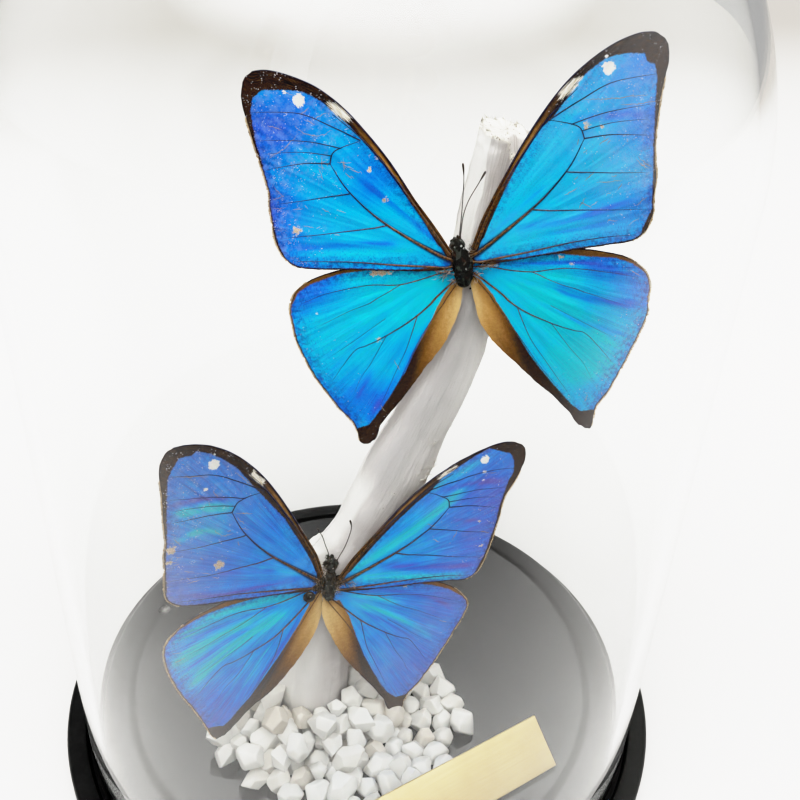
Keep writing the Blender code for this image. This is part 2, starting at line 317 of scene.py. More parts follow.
def deep(points, third=0.0):
    # flat points with a third column
    return np.column_stack([points, np.full(len(points), third)])


def ease(values, low, high):
    share = np.clip((values - low) / (high - low), 0.0, 1.0)
    return share * share * (3.0 - 2.0 * share)


def smoothLine(points, step, closed=False):
    # an even run of points on a smooth curve through the given ones
    spots = np.asarray(points, float)
    count = len(spots)
    share = np.linspace(0.0, 1.0, 24, endpoint=False)[:, None]
    runs = []
    for index in range(count if closed else count - 1):
        around = np.arange(index - 1, index + 3)
        around = np.mod(around, count) if closed else np.clip(around, 0, count - 1)
        first, second, third, fourth = spots[around]
        slope = third - first
        bend = 2.0 * first - 5.0 * second + 4.0 * third - fourth
        twist = 3.0 * second - first - 3.0 * third + fourth
        runs.append(second + 0.5 * (slope * share + bend * share ** 2 + twist * share ** 3))
    curve = np.concatenate([*runs, spots[:1] if closed else spots[-1:]])
    lengths = np.r_[0.0, np.cumsum(np.linalg.norm(np.diff(curve, axis=0), axis=1))]
    even = np.linspace(0.0, lengths[-1], max(2, int(round(lengths[-1] / step)) + 1))
    line = np.stack([np.interp(even, lengths, column) for column in curve.T], 1)
    return line[:-1] if closed else line


def lineDistance(points, line, closed=False):
    # distance to a line, and the share of its length at the nearest place
    line = np.asarray(line, float)
    if closed:
        line = np.concatenate([line, line[:1]])
    lengths = np.linalg.norm(np.diff(line, axis=0), axis=1)
    starts = np.r_[0.0, np.cumsum(lengths)]
    nearest = np.full(len(points), 1e9)
    along = np.zeros(len(points))
    for index, length in enumerate(lengths):
        way = (line[index + 1] - line[index]) / max(length, 1e-9)
        offset = points - line[index]
        reach = np.clip(offset @ way, 0.0, length)
        gap = ((offset - reach[:, None] * way) ** 2).sum(1)
        closer = gap < nearest
        nearest[closer] = gap[closer]
        along[closer] = starts[index] + reach[closer]
    return np.sqrt(nearest), along / starts[-1]


def insideOf(points, loop):
    across, up = points[:, 0], points[:, 1]
    inside = np.zeros(len(points), bool)
    for start, end in zip(loop, np.roll(loop, -1, 0)):
        crosses = (start[1] > up) != (end[1] > up)
        rise = end[1] - start[1] if end[1] != start[1] else 1.0
        inside ^= crosses & (across < start[0] + (up - start[1]) / rise * (end[0] - start[0]))
    return inside


def depthIn(points, loop):
    # distance to a loop's edge, above 0 inside it
    gap = lineDistance(points, loop, closed=True)[0]
    return np.where(insideOf(points, loop), gap, -gap)


def turned(profile, steps):
    # points and faces of a profile of (radius, height) spun about Z, top to bottom
    points, faces, rings = [], [], []
    angles = np.arange(steps) * 2.0 * math.pi / steps
    for radius, height in profile:
        if radius < 1e-6:
            rings.append([len(points)] * steps)
            points.append((0.0, 0.0, height))
            continue
        rings.append(list(range(len(points), len(points) + steps)))
        points += [(radius * math.cos(a), radius * math.sin(a), height) for a in angles]
    for upper, lower in zip(rings, rings[1:]):
        for step in range(steps):
            after = (step + 1) % steps
            face = list(dict.fromkeys((upper[step], lower[step], lower[after], upper[after])))
            if len(face) > 2:
                faces.append(face)
    return np.array(points), faces


def arc(centre, radius, start, end, count):
    angles = np.radians(np.linspace(start, end, count + 1))
    return [(centre[0] + radius * math.cos(a), centre[1] + radius * math.sin(a)) for a in angles]


def loft(line, radii, sides):
    # points and faces of a closed round bar along a line
    line = np.asarray(line, float)
    way = unit(np.gradient(line, axis=0))
    across = np.cross(way[0], (0.31, 0.92, 0.22))
    angles = np.arange(sides) * 2.0 * math.pi / sides
    points = []
    for spot, direction, radius in zip(line, way, radii):
        across = across - direction * (across @ direction)
        across /= np.linalg.norm(across)
        other = np.cross(direction, across)
        points += [spot + radius * (math.cos(a) * across + math.sin(a) * other) for a in angles]
    top, count = len(points) - sides, len(points)
    pairs = [(side, (side + 1) % sides) for side in range(sides)]
    faces = [(ring + side, ring + after, ring + sides + after, ring + sides + side)
             for ring in range(0, top, sides) for side, after in pairs]
    for side, after in pairs:
        faces += [(after, side, count), (top + side, top + after, count + 1)]
    return np.array([*points, line[0], line[-1]]), faces


print("frame loaded, helpers ready")


# Recipes that lay things along lines, on points and over surfaces

def tubeRecipe():
    recipe = Recipe("tubesAlongLines", {"Sides": "Int", "Thickness": "Float", "Finish": "Material"})
    curve = recipe.add("GeometryNodeMeshToCurve", None, {"Mesh": recipe.given("Geometry")})
    radius = recipe.named("thick") * recipe.given("Thickness")
    sockets = {"Resolution": recipe.given("Sides"), "Radius": 1.0}
    ring = recipe.add("GeometryNodeCurvePrimitiveCircle", None, sockets)
    sockets = {"Curve": curve, "Profile Curve": ring, "Scale": radius, "Fill Caps": True}
    tube = recipe.add("GeometryNodeCurveToMesh", None, sockets)
    smooth = recipe.add("GeometryNodeSetShadeSmooth", None, {"Geometry": tube})
    recipe.close(smooth)
    return recipe


def plantRecipe():
    # one of the shapes on each point, aimed by "aim", sized by "size", turned by "roll"
    inputs = {"Shapes": "Collection", "Size": "Float", "Seed": "Int", "Finish": "Material"}
    recipe = Recipe("shapesOnPoints", inputs)
    points = recipe.add("GeometryNodeMeshToPoints", None, {"Mesh": recipe.given("Geometry")})
    settings = {"primary_axis": "Z", "secondary_axis": "X"}
    sockets = {"Primary Axis": recipe.named("aim", "FLOAT_VECTOR"),
               "Secondary Axis": recipe.named("roll", "FLOAT_VECTOR")}
    turn = recipe.add("FunctionNodeAxesToRotation", settings, sockets)
    scale = recipe.named("size") * recipe.given("Size")
    recipe.scatter(points, turn, scale, recipe.given("Seed"))
    return recipe


def strewRecipe():
    # shapes strewn over a surface, as thick as the named attribute says
    inputs = {"Shapes": "Collection", "Density": "Float", "Smallest": "Float",
              "Largest": "Float", "Lie": "Float", "Seed": "Int", "Finish": "Material"}
    recipe = Recipe("strewnOverSurface", inputs)
    sockets = {"Mesh": recipe.given("Geometry"), "Seed": recipe.given("Seed"),
               "Density": recipe.named("cover") * recipe.given("Density")}
    points = recipe.add("GeometryNodeDistributePointsOnFaces", None, sockets, "Points")
    normal = Wire(recipe, points.socket.node.outputs["Normal"])
    # the shape's Z axis leans from the surface's normal towards the comb direction
    sockets = {4: normal, 5: recipe.named("comb", "FLOAT_VECTOR"), 0: recipe.given("Lie")}
    lean = recipe.add("ShaderNodeMix", {"data_type": "VECTOR"}, sockets, 1)
    sockets = {0: (-0.35, -0.35, -0.35), 1: (0.35, 0.35, 0.35)}
    stray = recipe.add("FunctionNodeRandomValue", {"data_type": "FLOAT_VECTOR"}, sockets)
    aim = recipe.add("ShaderNodeVectorMath", {"operation": "ADD"}, {0: lean, 1: stray})
    turn = recipe.add("FunctionNodeAlignRotationToVector", {"axis": "Z"}, {"Vector": aim})
    sockets = {"Angle": recipe.chance(0.0, 6.28, 7)}
    spin = recipe.add("FunctionNodeAxisAngleToRotation", None, sockets)
    sockets = {"Rotation": turn, "Rotate By": spin}
    turn = recipe.add("FunctionNodeRotateRotation", {"rotation_space": "LOCAL"}, sockets)
    scale = recipe.chance(recipe.given("Smallest"), recipe.given("Largest"), 11)
    recipe.scatter(points, turn, scale, 3)
    return recipe


alongLines = tubeRecipe()
onPoints = plantRecipe()
overSurface = strewRecipe()


def shapeSet(name, shapes):
    # a hidden collection of small shapes for the recipes to pick from
    holder = bpy.data.collections.new(name)
    for number, (points, faces) in enumerate(shapes):
        label = f"{name}{number}"
        holder.objects.link(bpy.data.objects.new(label, newMesh(label, points, faces)))
    return holder


def tubesPiece(name, lines, material, sides=6):
    # lines: list of (points, radii); one mesh of tubes
    points, edges, thick = [], [], []
    for line, radii in lines:
        start = len(points)
        points += list(line)
        thick += list(radii)
        edges += [(start + index, start + index + 1) for index in range(len(line) - 1)]
    carrier = newPiece(name + "Lines", points, [], (), {"thick": thick}, edges)
    inputs = {"Sides": sides, "Thickness": mm, "Finish": material}
    return grown(name, carrier, alongLines, inputs)


def plantedPiece(name, points, aims, rolls, sizes, shapes, material, seed=1):
    fields = {"aim": aims, "roll": rolls, "size": sizes}
    carrier = newPiece(name + "Points", points, [], (), fields)
    inputs = {"Shapes": shapes, "Size": 1.0, "Seed": seed, "Finish": material}
    return grown(name, carrier, onPoints, inputs)


# Base

baseLook = {
    "radius": 70.0, "flangeTop": 5.0, "rim": 1.2, "chamfer": (0.8, 0.6),
    "grooveRadius": 65.5, "grooveFloor": 3.0,
    "platformRadius": 62.25, "platformTop": 11.7, "flat": 56.0,
    "shoulder": (8.0, 1.7),  # how wide and how tall the platform's rounded edge is
    "fillet": 0.3, "lip": 0.5,
    "steps": 240,
}


def paintPlatform(g):
    place = g.place()
    dust = g.grain(place, 0.35, 6.0, 0.7)
    colour = g.blend(g.fade(dust, 0.45, 0.75), tone(10, 10, 11), tone(18, 18, 19))
    # a small pale soft spot at the left
    sockets = {0: place, 1: (-52.8, 11.6, 11.7)}
    gap = g.add("ShaderNodeVectorMath", {"operation": "DISTANCE"}, sockets, "Value")
    paleSpot = g.fade(gap + (dust - 0.5) * 4.0, 1.8, 0.1)
    return {
        "Base Color": g.blend(paleSpot * 0.6, colour, tone(186, 184, 180)),
        "Roughness": 0.07 + dust * 0.03,
        "IOR": 1.5,
    }


def paintFlange(g):
    place = g.place()
    dust = g.grain(place, 0.5, 6.0, 0.7)
    side, back, _ = g.axes(place)
    # lighter grey towards the right and the back of the flange
    lighterRightBack = g.fade(side, 35.0, 62.0) + g.fade(back, 48.0, 64.0) * 1.3
    colour = g.blend(g.fade(dust, 0.4, 0.8), tone(14, 14, 14), tone(26, 26, 26))
    return {
        "Base Color": g.blend(lighterRightBack * 0.5, colour, tone(44, 44, 43)),
        "Roughness": 0.3 + dust * 0.2,
        "IOR": 1.45,
        "Specular IOR Level": 0.16,
    }


def buildBase():
    s = baseLook
    wide, tall = s["shoulder"]
    platform, groove, outer = s["platformRadius"], s["grooveRadius"], s["radius"]
    top, floor, flange = s["platformTop"], s["grooveFloor"], s["flangeTop"]
    small, lip, rim = s["fillet"], s["lip"], s["rim"]
    profile = [(radius, top) for radius in np.linspace(0.0, s["flat"], 12)]
    profile += [(platform - wide + x * wide, top - tall + y * tall)
                for x, y in arc((0.0, 0.0), 1.0, 90.0, 0.0, 20)]
    platformRings = len(profile)
    profile += [(platform, floor + small), (platform + small, floor),
                (groove - small, floor), (groove, floor + small)]
    profile += arc((groove + lip, flange - lip), lip, 180.0, 90.0, 4)
    profile += arc((outer - rim, flange - rim), rim, 90.0, 0.0, 8)
    profile += [(outer, s["chamfer"][1]), (outer - s["chamfer"][0], 0.0)]
    profile += [(radius, 0.0) for radius in (60.0, 40.0, 20.0, 0.0)]
    points, faces = turned(profile, s["steps"])
    materials = [newMaterial("platformBlack", paintPlatform), newMaterial("flangeBlack", paintFlange)]
    base = newPiece("base_turned", points, faces, materials)
    platformFaces = (platformRings - 1) * s["steps"]
    for face in base.data.polygons:
        face.material_index = 0 if face.index < platformFaces else 1
    base.data.set_sharp_from_angle(angle=math.radians(40.0))
    kept(base, "gloss_black", "base")


buildBase()
print("base turned")


# Dome

domeLook = {
    "radius": 64.8, "wall": 2.4, "spring": 135.0, "foot": 3.3,
    "steps": 224, "arcSteps": 44, "wallSteps": 10,
}


def paintGlass(g):
    return {
        "Base Color": (0.985, 0.992, 0.988, 1.0),
        "Roughness": 0.0,
        "IOR": 1.46,
        "Transmission Weight": 1.0,
    }


def buildDome():
    s = domeLook
    inner = s["radius"] - s["wall"]
    lip = s["wall"] / 2.0
    outside = arc((0.0, s["spring"]), s["radius"], 90.0, 0.0, s["arcSteps"])
    outside[0] = (0.0, s["spring"] + s["radius"])
    heights = np.linspace(s["spring"], s["foot"] + lip, s["wallSteps"])[1:-1]
    outside += [(s["radius"], height) for height in heights]
    edge = arc((s["radius"] - lip, s["foot"] + lip), lip, 0.0, -180.0, 10)
    inside = [(inner, height) for height in heights[::-1]]
    inside += arc((0.0, s["spring"]), inner, 0.0, 90.0, s["arcSteps"])
    inside[-1] = (0.0, s["spring"] + inner)
    points, faces = turned(outside + edge + inside, s["steps"])
    dome = newPiece("dome_glass", points, faces, [newMaterial("clearGlass", paintGlass)])
    kept(dome, "clear_glass", "glass_dome")


buildDome()
print("dome turned")


# Branch

branchLook = {
    "spine": (  # x, y, z, radius
        (-11.4, -16.5, 8.0, 8.2), (-10.6, -16.3, 16.6, 7.9), (-9.4, -15.8, 29.0, 7.5),
        (-7.6, -15.1, 43.3, 7.2), (-4.6, -14.5, 54.1, 6.4), (-1.0, -12.9, 60.5, 5.8),
        (2.6, -10.9, 66.9, 6.3), (6.4, -8.8, 74.4, 6.5), (10.5, -6.6, 83.5, 5.9),
        (14.4, -4.9, 92.6, 5.4), (17.1, -3.5, 100.4, 5.1), (18.4, -2.6, 108.8, 4.9),
        (19.4, -1.6, 118.3, 4.7), (20.5, 0.0, 127.2, 4.5), (22.4, 2.3, 139.0, 4.2),
        (22.7, 2.6, 141.4, 4.1),
    ),
    "knob": ((-5.2, -14.4, 50.5, 6.0), (-7.3, -14.4, 55.4, 4.9), (-8.8, -14.4, 58.7, 3.6)),
    "top": (22.4, 2.3, 138.9), "step": 2.7,  # the break's middle, and the drop at its right
    "length": 140.0, "foot": 12.0, "round": 6.0,
    "voxel": 0.52,
    "lumps": 0.3, "ridges": 0.18, "fibres": 0.07,
    "splinters": 150, "splinterSizes": (0.3, 1.1),
    "peels": 70, "peelSizes": (0.3, 1.5), "peelHeights": (60.0, 84.0),
    "seed": 19,
}


def paintBranch(g):
    # "run" holds the way round and the way up, "broken" the share of bare wood
    run = g.field("run", "Vector")
    broken = g.field("broken")
    fibre = g.grain(g.stretch(run, (1.6, 0.12, 1.0)), 1.4, 6.0, 0.62)
    patch = g.grain(run, 0.16, 4.0, 0.55)
    pits = g.cells(g.stretch(run, (1.0, 0.45, 1.0)), 0.8)
    crack = g.fade(g.grain(g.stretch(run, (1.2, 0.07, 1.0)), 1.1, 8.0, 0.75), 0.66, 0.74)
    turn, up, _ = g.axes(run)
    upper = g.fade(up, 40.0, 80.0)
    # painted light: the left side is painted nearly white as if lit, and the right greyer as if in shade,
    # with the grain showing there
    turn = turn + (patch - 0.5) * 2.0 + (fibre - 0.5) * 0.6
    split = -11.6 - g.fade(up, 126.0, 138.0) * 0.9
    thick = g.fade(turn, split - (1.0 - upper) * 0.6, split - 0.6 - (1.0 - upper) * 2.4)
    # painted light also on the left towards the back, and low on the trunk at the front, where the wings
    # shade it
    thick = thick + g.fade(turn, 10.0, 15.0) + g.fade(turn, -7.0, -11.0) * g.fade(up, 42.0, 26.0) * 0.8
    paint = g.blend(g.fade(patch, 0.35, 0.7), tone(188, 183, 181), tone(202, 198, 196))
    grainy = g.fade(up, 84.0, 112.0) * g.fade(fibre, 0.44, 0.62)
    # painted shade: more of the grain's dark shows on the right
    paint = g.blend(grainy * (0.3 + g.fade(turn, -9.0, -4.0) * 0.6), paint, tone(152, 144, 136))
    paint = g.blend(thick, paint, tone(230, 228, 224))
    # painted light: half way up it is the right side that is painted lighter and the left greyer, as if lit
    # from the right there
    middle = g.fade(up, 62.0, 70.0) * g.fade(up, 112.0, 104.0)
    shaded = g.ramp(g.fade(turn, -18.0, 0.0), [
        (0.0, tone(188, 184, 182)), (0.25, tone(174, 170, 169)), (0.5, tone(175, 172, 170)),
        (0.74, tone(211, 208, 205)), (1.0, tone(240, 237, 234)),
    ])
    paint = g.blend(middle, paint, g.blend(patch * 0.3, shaded, tone(196, 192, 190)))
    paint = g.blend(crack * upper * 0.6, paint, tone(130, 120, 110))
    wood = g.blend(g.fade(fibre, 0.3, 0.7), tone(206, 200, 190), tone(240, 237, 228))
    hole = g.fade(g.cells(g.place(), 1.1), 0.26, 0.14)
    wood = g.blend(hole * 0.75, wood, tone(90, 82, 70))
    colour = g.blend(broken, paint, wood)
    height = (fibre * 0.8 - crack) * (0.25 + 0.75 * upper) + patch * 0.3
    height = height - g.fade(pits, 0.1, 0.0) * 0.3
    return {
        "Base Color": colour,
        "Roughness": 0.5 + fibre * 0.2,
        "Normal": g.bump(height, 0.8, 0.0004),
    }


splinterShapes = shapeSet("splinterShape", [
    (points, [(0, 1, 3), (1, 2, 3), (2, 0, 3), (0, 2, 1)]) for points in (
        [(-0.2, -0.06, -0.2), (0.2, -0.08, -0.2), (0.0, 0.14, -0.2), (0.06, 0.02, 0.9)],
        [(-0.07, -0.03, -0.1), (0.07, -0.03, -0.1), (0.0, 0.05, -0.1), (0.03, 0.12, 1.2)],
    )
])
paintSplinter = shadePainter([(0.0, tone(150, 140, 124)), (0.2, tone(216, 211, 202)),
                              (1.0, tone(240, 238, 232))], 0.6, 0.1)


def branchSkin():
    # the bars melted into one skin
    s = branchLook
    lines = [smoothLine(table, 1.5) for table in (s["spine"], s["knob"])]
    rough = newPiece("branchRough", *joined(loft(line[:, :3], line[:, 3], 40) for line in lines))
    remesh = rough.modifiers.new("Skin", "REMESH")
    remesh.mode = "VOXEL"
    remesh.voxel_size = s["voxel"] * mm
    depsgraph = bpy.context.evaluated_depsgraph_get()
    mesh = bpy.data.meshes.new_from_object(rough.evaluated_get(depsgraph))
    bpy.data.objects.remove(rough, do_unlink=True)
    return mesh


def buildBranch():
    s = branchLook
    mesh = branchSkin()
    spots, normals = vertexRows(mesh) / mm, vertexRows(mesh, "normal")
    spine = smoothLine(s["spine"], 1.0)
    along = lineDistance(spots, spine[:, :3])[1] * s["length"]
    marks = np.linspace(0, s["length"], len(spine))
    middle = np.stack([np.interp(along, marks, column) for column in spine.T], 1)
    offset = spots - middle[:, :3]
    angle = np.arctan2(offset[:, 1], offset[:, 0])
    run = np.stack([angle * s["round"], along, np.zeros(len(spots))], 1)
    wrap = np.stack([np.cos(angle) * s["round"], np.sin(angle) * s["round"], along * 0.12], 1)
    push = s["lumps"] * deepNoise(spots, 9.0, 3) + s["ridges"] * deepNoise(wrap, 1.5, 11)
    push += s["fibres"] * softNoise(wrap, 0.5, 17)
    push += ease(spots[:, 2], 134.0, 137.5) * 0.3 * deepNoise(spots, 1.4, 23)
    spots = spots + normals * push[:, None]
    # the broken top slopes to the front, with a step down at the right
    across, depth = spots[:, 0] - s["top"][0], spots[:, 1] - s["top"][1]
    step = ease(across, 0.6, 1.1) * ease(-depth, 1.9, 2.6)
    cut = s["top"][2] + 0.2 * depth - 0.14 * across - s["step"] * step
    cut += 0.45 * deepNoise(spots * (1.0, 1.0, 0.0), 1.5, 29)
    broken = ease(spots[:, 2] - cut, -0.35, 0.1)
    wall = ease(across, 0.4, 1.0) * ease(-depth, 1.2, 1.8) * ease(depth, -3.2, -2.7)
    broken = broken * (1.0 - 0.9 * wall)
    spots[:, 2] = np.clip(spots[:, 2], s["foot"], cut)
    mesh.vertices.foreach_set("co", (spots * mm).ravel())
    mesh.update()
    giveFields(mesh, {"run": run, "broken": broken})
    mesh.materials.clear()
    mesh.materials.append(newMaterial("whitePaintedWood", paintBranch))
    mesh.shade_smooth()
    kept(linked("branch_painted", mesh), "white_paint", "branch")

    # splinters round the break, and flakes of peeling paint at the right, half way up
    pick = np.random.default_rng(s["seed"])
    rim = np.flatnonzero((broken > 0.3) & (np.abs(spots[:, 2] - cut) < 0.5)
                         & ((np.hypot(across, depth) > 3.1) | (np.abs(across - 0.9) < 0.5)))
    facing = normals @ np.array([0.62, -0.72, 0.3])
    patch = (softNoise(spots, 4.0, 41) > 0.1) & (facing > 0.5)
    low, high = s["peelHeights"]
    peeling = np.flatnonzero((spots[:, 2] > low) & (spots[:, 2] < high) & patch)
    chosen = np.concatenate([pick.choice(rim, s["splinters"]), pick.choice(peeling, s["peels"])])
    top = np.arange(len(chosen)) < s["splinters"]
    lean = np.where(top[:, None], (0.0, -0.1, 1.0), (0.4, 0.1, 0.9))
    aims = normals[chosen] * 0.3 + lean
    aims = aims + 0.45 * pick.normal(size=aims.shape)
    sizes = np.where(top, pick.uniform(*s["splinterSizes"], len(chosen)),
                     pick.uniform(*s["peelSizes"], len(chosen)))
    chips = plantedPiece("branch_chips", spots[chosen], aims, pick.normal(size=aims.shape), sizes,
                         splinterShapes, newMaterial("whiteChips", paintSplinter), 5)
    kept(chips, "white_paint")


buildBranch()
print("branch shaped")


# Pebbles

pebbleLook = {
    "heapCentre": (-4.8, -24.0), "heapRadius": 24.7,
    "pileCentre": (-11.0, -17.0), "pileRadius": 22.0, "layers": 4,
    "bounds": ((-31.3, -31.1, -0.666, -0.746), (-21.1, -40.2, -0.233, -0.973),
               (-30.6, -24.0, -0.98, 0.2)),
    "pitch": 4.4, "shift": 0.9, "radius": 2.46, "floor": 11.75,
    "edge": (2.2, 1.3),  # how far inside the bounds the middles start, and end at the least
    "settling": 240, "drop": 0.05, "closeness": 0.93,
    "seed": 41, "shapes": 12, "cuts": 11, "rounding": 0.24,
}


def paintPebble(g):
    place = g.place()
    mottle = g.grain(place, 0.45, 5.0, 0.6)
    fine = g.grain(place, 3.5, 4.0, 0.6)
    stone = g.ramp(g.field("shade"), [
        (0.0, tone(196, 189, 178)), (0.14, tone(204, 200, 192)), (0.35, tone(211, 209, 204)),
        (1.0, tone(217, 216, 212)),
    ])
    colour = g.blend(g.fade(mottle, 0.5, 0.75) * 0.3, stone, tone(214, 208, 198))
    return {
        "Base Color": colour,
        "Roughness": 0.55 + fine * 0.2,
        "Normal": g.bump(mottle + fine * 0.4, 0.35, 0.0003),
        "Subsurface Weight": 0.12,
        "Subsurface Radius": (1.0, 0.9, 0.8),
        "Subsurface Scale": 0.0012,
    }


def pebbleShape(pick):
    # a block cut by flat faces, its edges rounded
    stone = bmesh.new()
    bmesh.ops.create_cube(stone, size=2.4)
    count = pebbleLook["cuts"]
    for number in range(count):
        rise = 1.0 - 2.0 * (number + 0.5) / count
        turn = number * 2.4 + pick.uniform(-0.5, 0.5)
        flat = math.sqrt(1.0 - rise * rise)
        way = Vector((flat * math.cos(turn), flat * math.sin(turn), rise))
        bmesh.ops.bisect_plane(stone, geom=stone.verts[:] + stone.edges[:] + stone.faces[:],
                               plane_co=way * pick.uniform(0.74, 0.98), plane_no=way,
                               clear_outer=True)
        bmesh.ops.holes_fill(stone, edges=stone.edges[:])
    bmesh.ops.remove_doubles(stone, verts=stone.verts[:], dist=0.12)
    bmesh.ops.bevel(stone, geom=stone.edges[:], offset=pebbleLook["rounding"], segments=2,
                    profile=0.5, affect="EDGES", clamp_overlap=True)
    bmesh.ops.recalc_face_normals(stone, faces=stone.faces[:])
    spots = np.array([vertex.co for vertex in stone.verts])
    faces = [[vertex.index for vertex in face.verts] for face in stone.faces]
    stone.free()
    spots *= pick.uniform(0.86, 1.16, 3)
    spots *= 1.0 + 0.025 * deepNoise(spots, 0.6, 5)[:, None]
    return spots, faces


def beyondBounds(spots):
    # how far each place lies beyond the straight sides of the heap
    beyond = [(spots[:, 0] - x) * right + (spots[:, 1] - y) * up
              for x, y, right, up in pebbleLook["bounds"]]
    return np.max(beyond, axis=0)


def pebbleSpots(pick):
    # loose rows over the round heap, then pushed apart and let down
    s = pebbleLook
    spots, sizes = [], []
    rowGap = s["pitch"] * math.sqrt(0.75)
    rows = int(s["heapRadius"] / rowGap) + 1
    for layer in range(s["layers"]):
        reach = s["heapRadius"] if layer == 0 else s["pileRadius"] * (0.96 - 0.2 * layer)
        middle = s["heapCentre"] if layer == 0 else s["pileCentre"]
        for row in range(-rows, rows + 1):
            for column in range(-rows, rows + 1):
                x = middle[0] + (column + 0.5 * (row % 2)) * s["pitch"] + layer * 2.0
                y = middle[1] + row * rowGap + layer * 1.6
                x += pick.uniform(-s["shift"], s["shift"])
                y += pick.uniform(-s["shift"], s["shift"])
                size = s["radius"] * pick.uniform(0.8, 1.14)
                inside = beyondBounds(np.array([(x, y)]))[0] < -s["edge"][0]
                if math.hypot(x - middle[0], y - middle[1]) < reach and inside:
                    spots.append((x, y, s["floor"] + size * (1.0 + 1.5 * layer)))
                    sizes.append(size)
    spots, sizes = np.array(spots), np.array(sizes)
    trunk = np.array(branchLook["spine"][:4])
    for _ in range(s["settling"]):
        spots[:, 2] -= s["drop"]
        apart = spots[:, None] - spots[None]
        gap = np.linalg.norm(apart, axis=2) + np.eye(len(spots)) * 99.0
        close = np.maximum(0.0, s["closeness"] * (sizes[:, None] + sizes[None]) - gap)
        spots += 0.32 * (apart / gap[..., None] * close[..., None]).sum(1)
        side = spots[:, :2] - np.stack([np.interp(spots[:, 2], trunk[:, 2], trunk[:, axis])
                                        for axis in (0, 1)], 1)
        reach = np.linalg.norm(side, axis=1)
        clear = np.interp(spots[:, 2], trunk[:, 2], trunk[:, 3]) + 0.9 * sizes
        spots[:, :2] += side / reach[:, None] * np.maximum(0.0, clear - reach)[:, None]
        spots = clearOfPlate(spots, sizes)
        spots[:, 2] = np.maximum(spots[:, 2], s["floor"] + 0.86 * sizes)
    left = beyondBounds(spots) < -s["edge"][1]
    return spots[left], sizes[left]


plateLook = {
    "length": 50.0, "width": 11.0, "thickness": 1.0,
    "corner": (43.8, -29.7), "turn": 213.0, "lean": 40.0, "floor": 12.0,
    "bevel": 0.28,
}


def plateMatrix():
    s = plateLook
    lean = math.radians(s["lean"])
    corner = Vector((*s["corner"], s["floor"] + s["thickness"] * math.cos(lean)))
    turn = Euler((lean, 0.0, math.radians(s["turn"] - 180.0))).to_matrix().to_4x4()
    middle = Vector((-s["length"] / 2.0, s["width"] / 2.0, -s["thickness"] / 2.0))
    return Matrix.Translation(corner) @ turn @ Matrix.Translation(middle)


def clearOfPlate(spots, sizes):
    s = plateLook
    own = moved(spots, plateMatrix().inverted())
    near = (np.abs(own[:, 0]) < s["length"] / 2.0 + 2.0) & (np.abs(own[:, 1]) < s["width"] / 2.0 + 2.5)
    reach = 0.88 * sizes + s["thickness"] / 2.0
    low = near & (np.abs(own[:, 2]) < reach)
    own[low, 2] = np.where(own[low, 2] > 2.0, 1.0, -1.0) * reach[low]
    return moved(own, plateMatrix())


def buildPebbles():
    s = pebbleLook
    pick = np.random.default_rng(s["seed"])
    shapes = shapeSet("pebbleShape", [pebbleShape(pick) for _ in range(s["shapes"])])
    spots, sizes = pebbleSpots(pick)
    aims = pick.normal(size=(len(spots), 3))
    rolls = pick.normal(size=(len(spots), 3))
    material = newMaterial("whiteStone", paintPebble)
    piece = plantedPiece("pebbles_loose", spots, aims, rolls, sizes, shapes, material)
    print("pebbles laid:", len(spots), "faces:", len(piece.data.polygons))
    kept(piece, "white_stone", "pebbles")


buildPebbles()


# Plate

def paintBrass(g):
    place = g.place()
    turn = math.radians(plateLook["turn"] - 180.0)
    along = g.add("ShaderNodeMapping", None, {"Vector": place, "Rotation": (0.0, 0.0, -turn)})
    lines = g.grain(g.stretch(along, (0.06, 2.6, 2.6)), 1.0, 5.0, 0.7)
    haze = g.grain(place, 0.12, 3.0, 0.5)
    colour = g.blend(g.fade(lines, 0.3, 0.7), tone(196, 176, 126), tone(203, 184, 134))
    colour = g.blend(g.fade(haze, 0.4, 0.7) * 0.5, colour, tone(188, 167, 117))
    return {
        "Base Color": colour,
        "Metallic": 0.55,
        "Roughness": 0.42 + lines * 0.05,
        "Normal": g.bump(lines, 0.04, 0.0001),
    }


def paintPlateEdgeShade(g):
    # painted shadow: the bevelled edges are painted dark brown, a shadow line along the plate's edge,
    # mottled at random
    shadeMottle = g.grain(g.place(), 0.8, 4.0, 0.6)
    return {
        "Base Color": g.blend(g.fade(shadeMottle, 0.3, 0.7), tone(34, 28, 18), tone(78, 64, 40)),
        "Metallic": 0.4,
        "Roughness": 0.4,
    }


def buildPlate():
    s = plateLook
    solid = bmesh.new()
    bmesh.ops.create_cube(solid, size=1.0)
    for vertex in solid.verts:
        vertex.co = Vector((vertex.co.x * s["length"], vertex.co.y * s["width"],
                            vertex.co.z * s["thickness"])) * mm
    bmesh.ops.bevel(solid, geom=solid.edges[:], offset=s["bevel"] * mm, segments=4,
                    profile=0.6, affect="EDGES")
    for face in solid.faces:
        face.material_index = int(face.calc_area() < 4.0 * mm ** 2)
    place = plateMatrix()
    place.translation *= mm
    bmesh.ops.transform(solid, matrix=place, verts=solid.verts)
    mesh = bpy.data.meshes.new("plate_bare")
    solid.to_mesh(mesh)
    solid.free()
    mesh.materials.append(newMaterial("paleBrass", paintBrass))
    mesh.materials.append(newMaterial("plateEdgeShade", paintPlateEdgeShade))
    mesh.shade_smooth()
    mesh.set_sharp_from_angle(angle=math.radians(45.0))
    kept(linked("plate_bare", mesh), "pale_brass", "name_plate")


buildPlate()
print("plate laid")


# Wings: the shape and veins of the right side, x from the hinge outwards, y towards the head

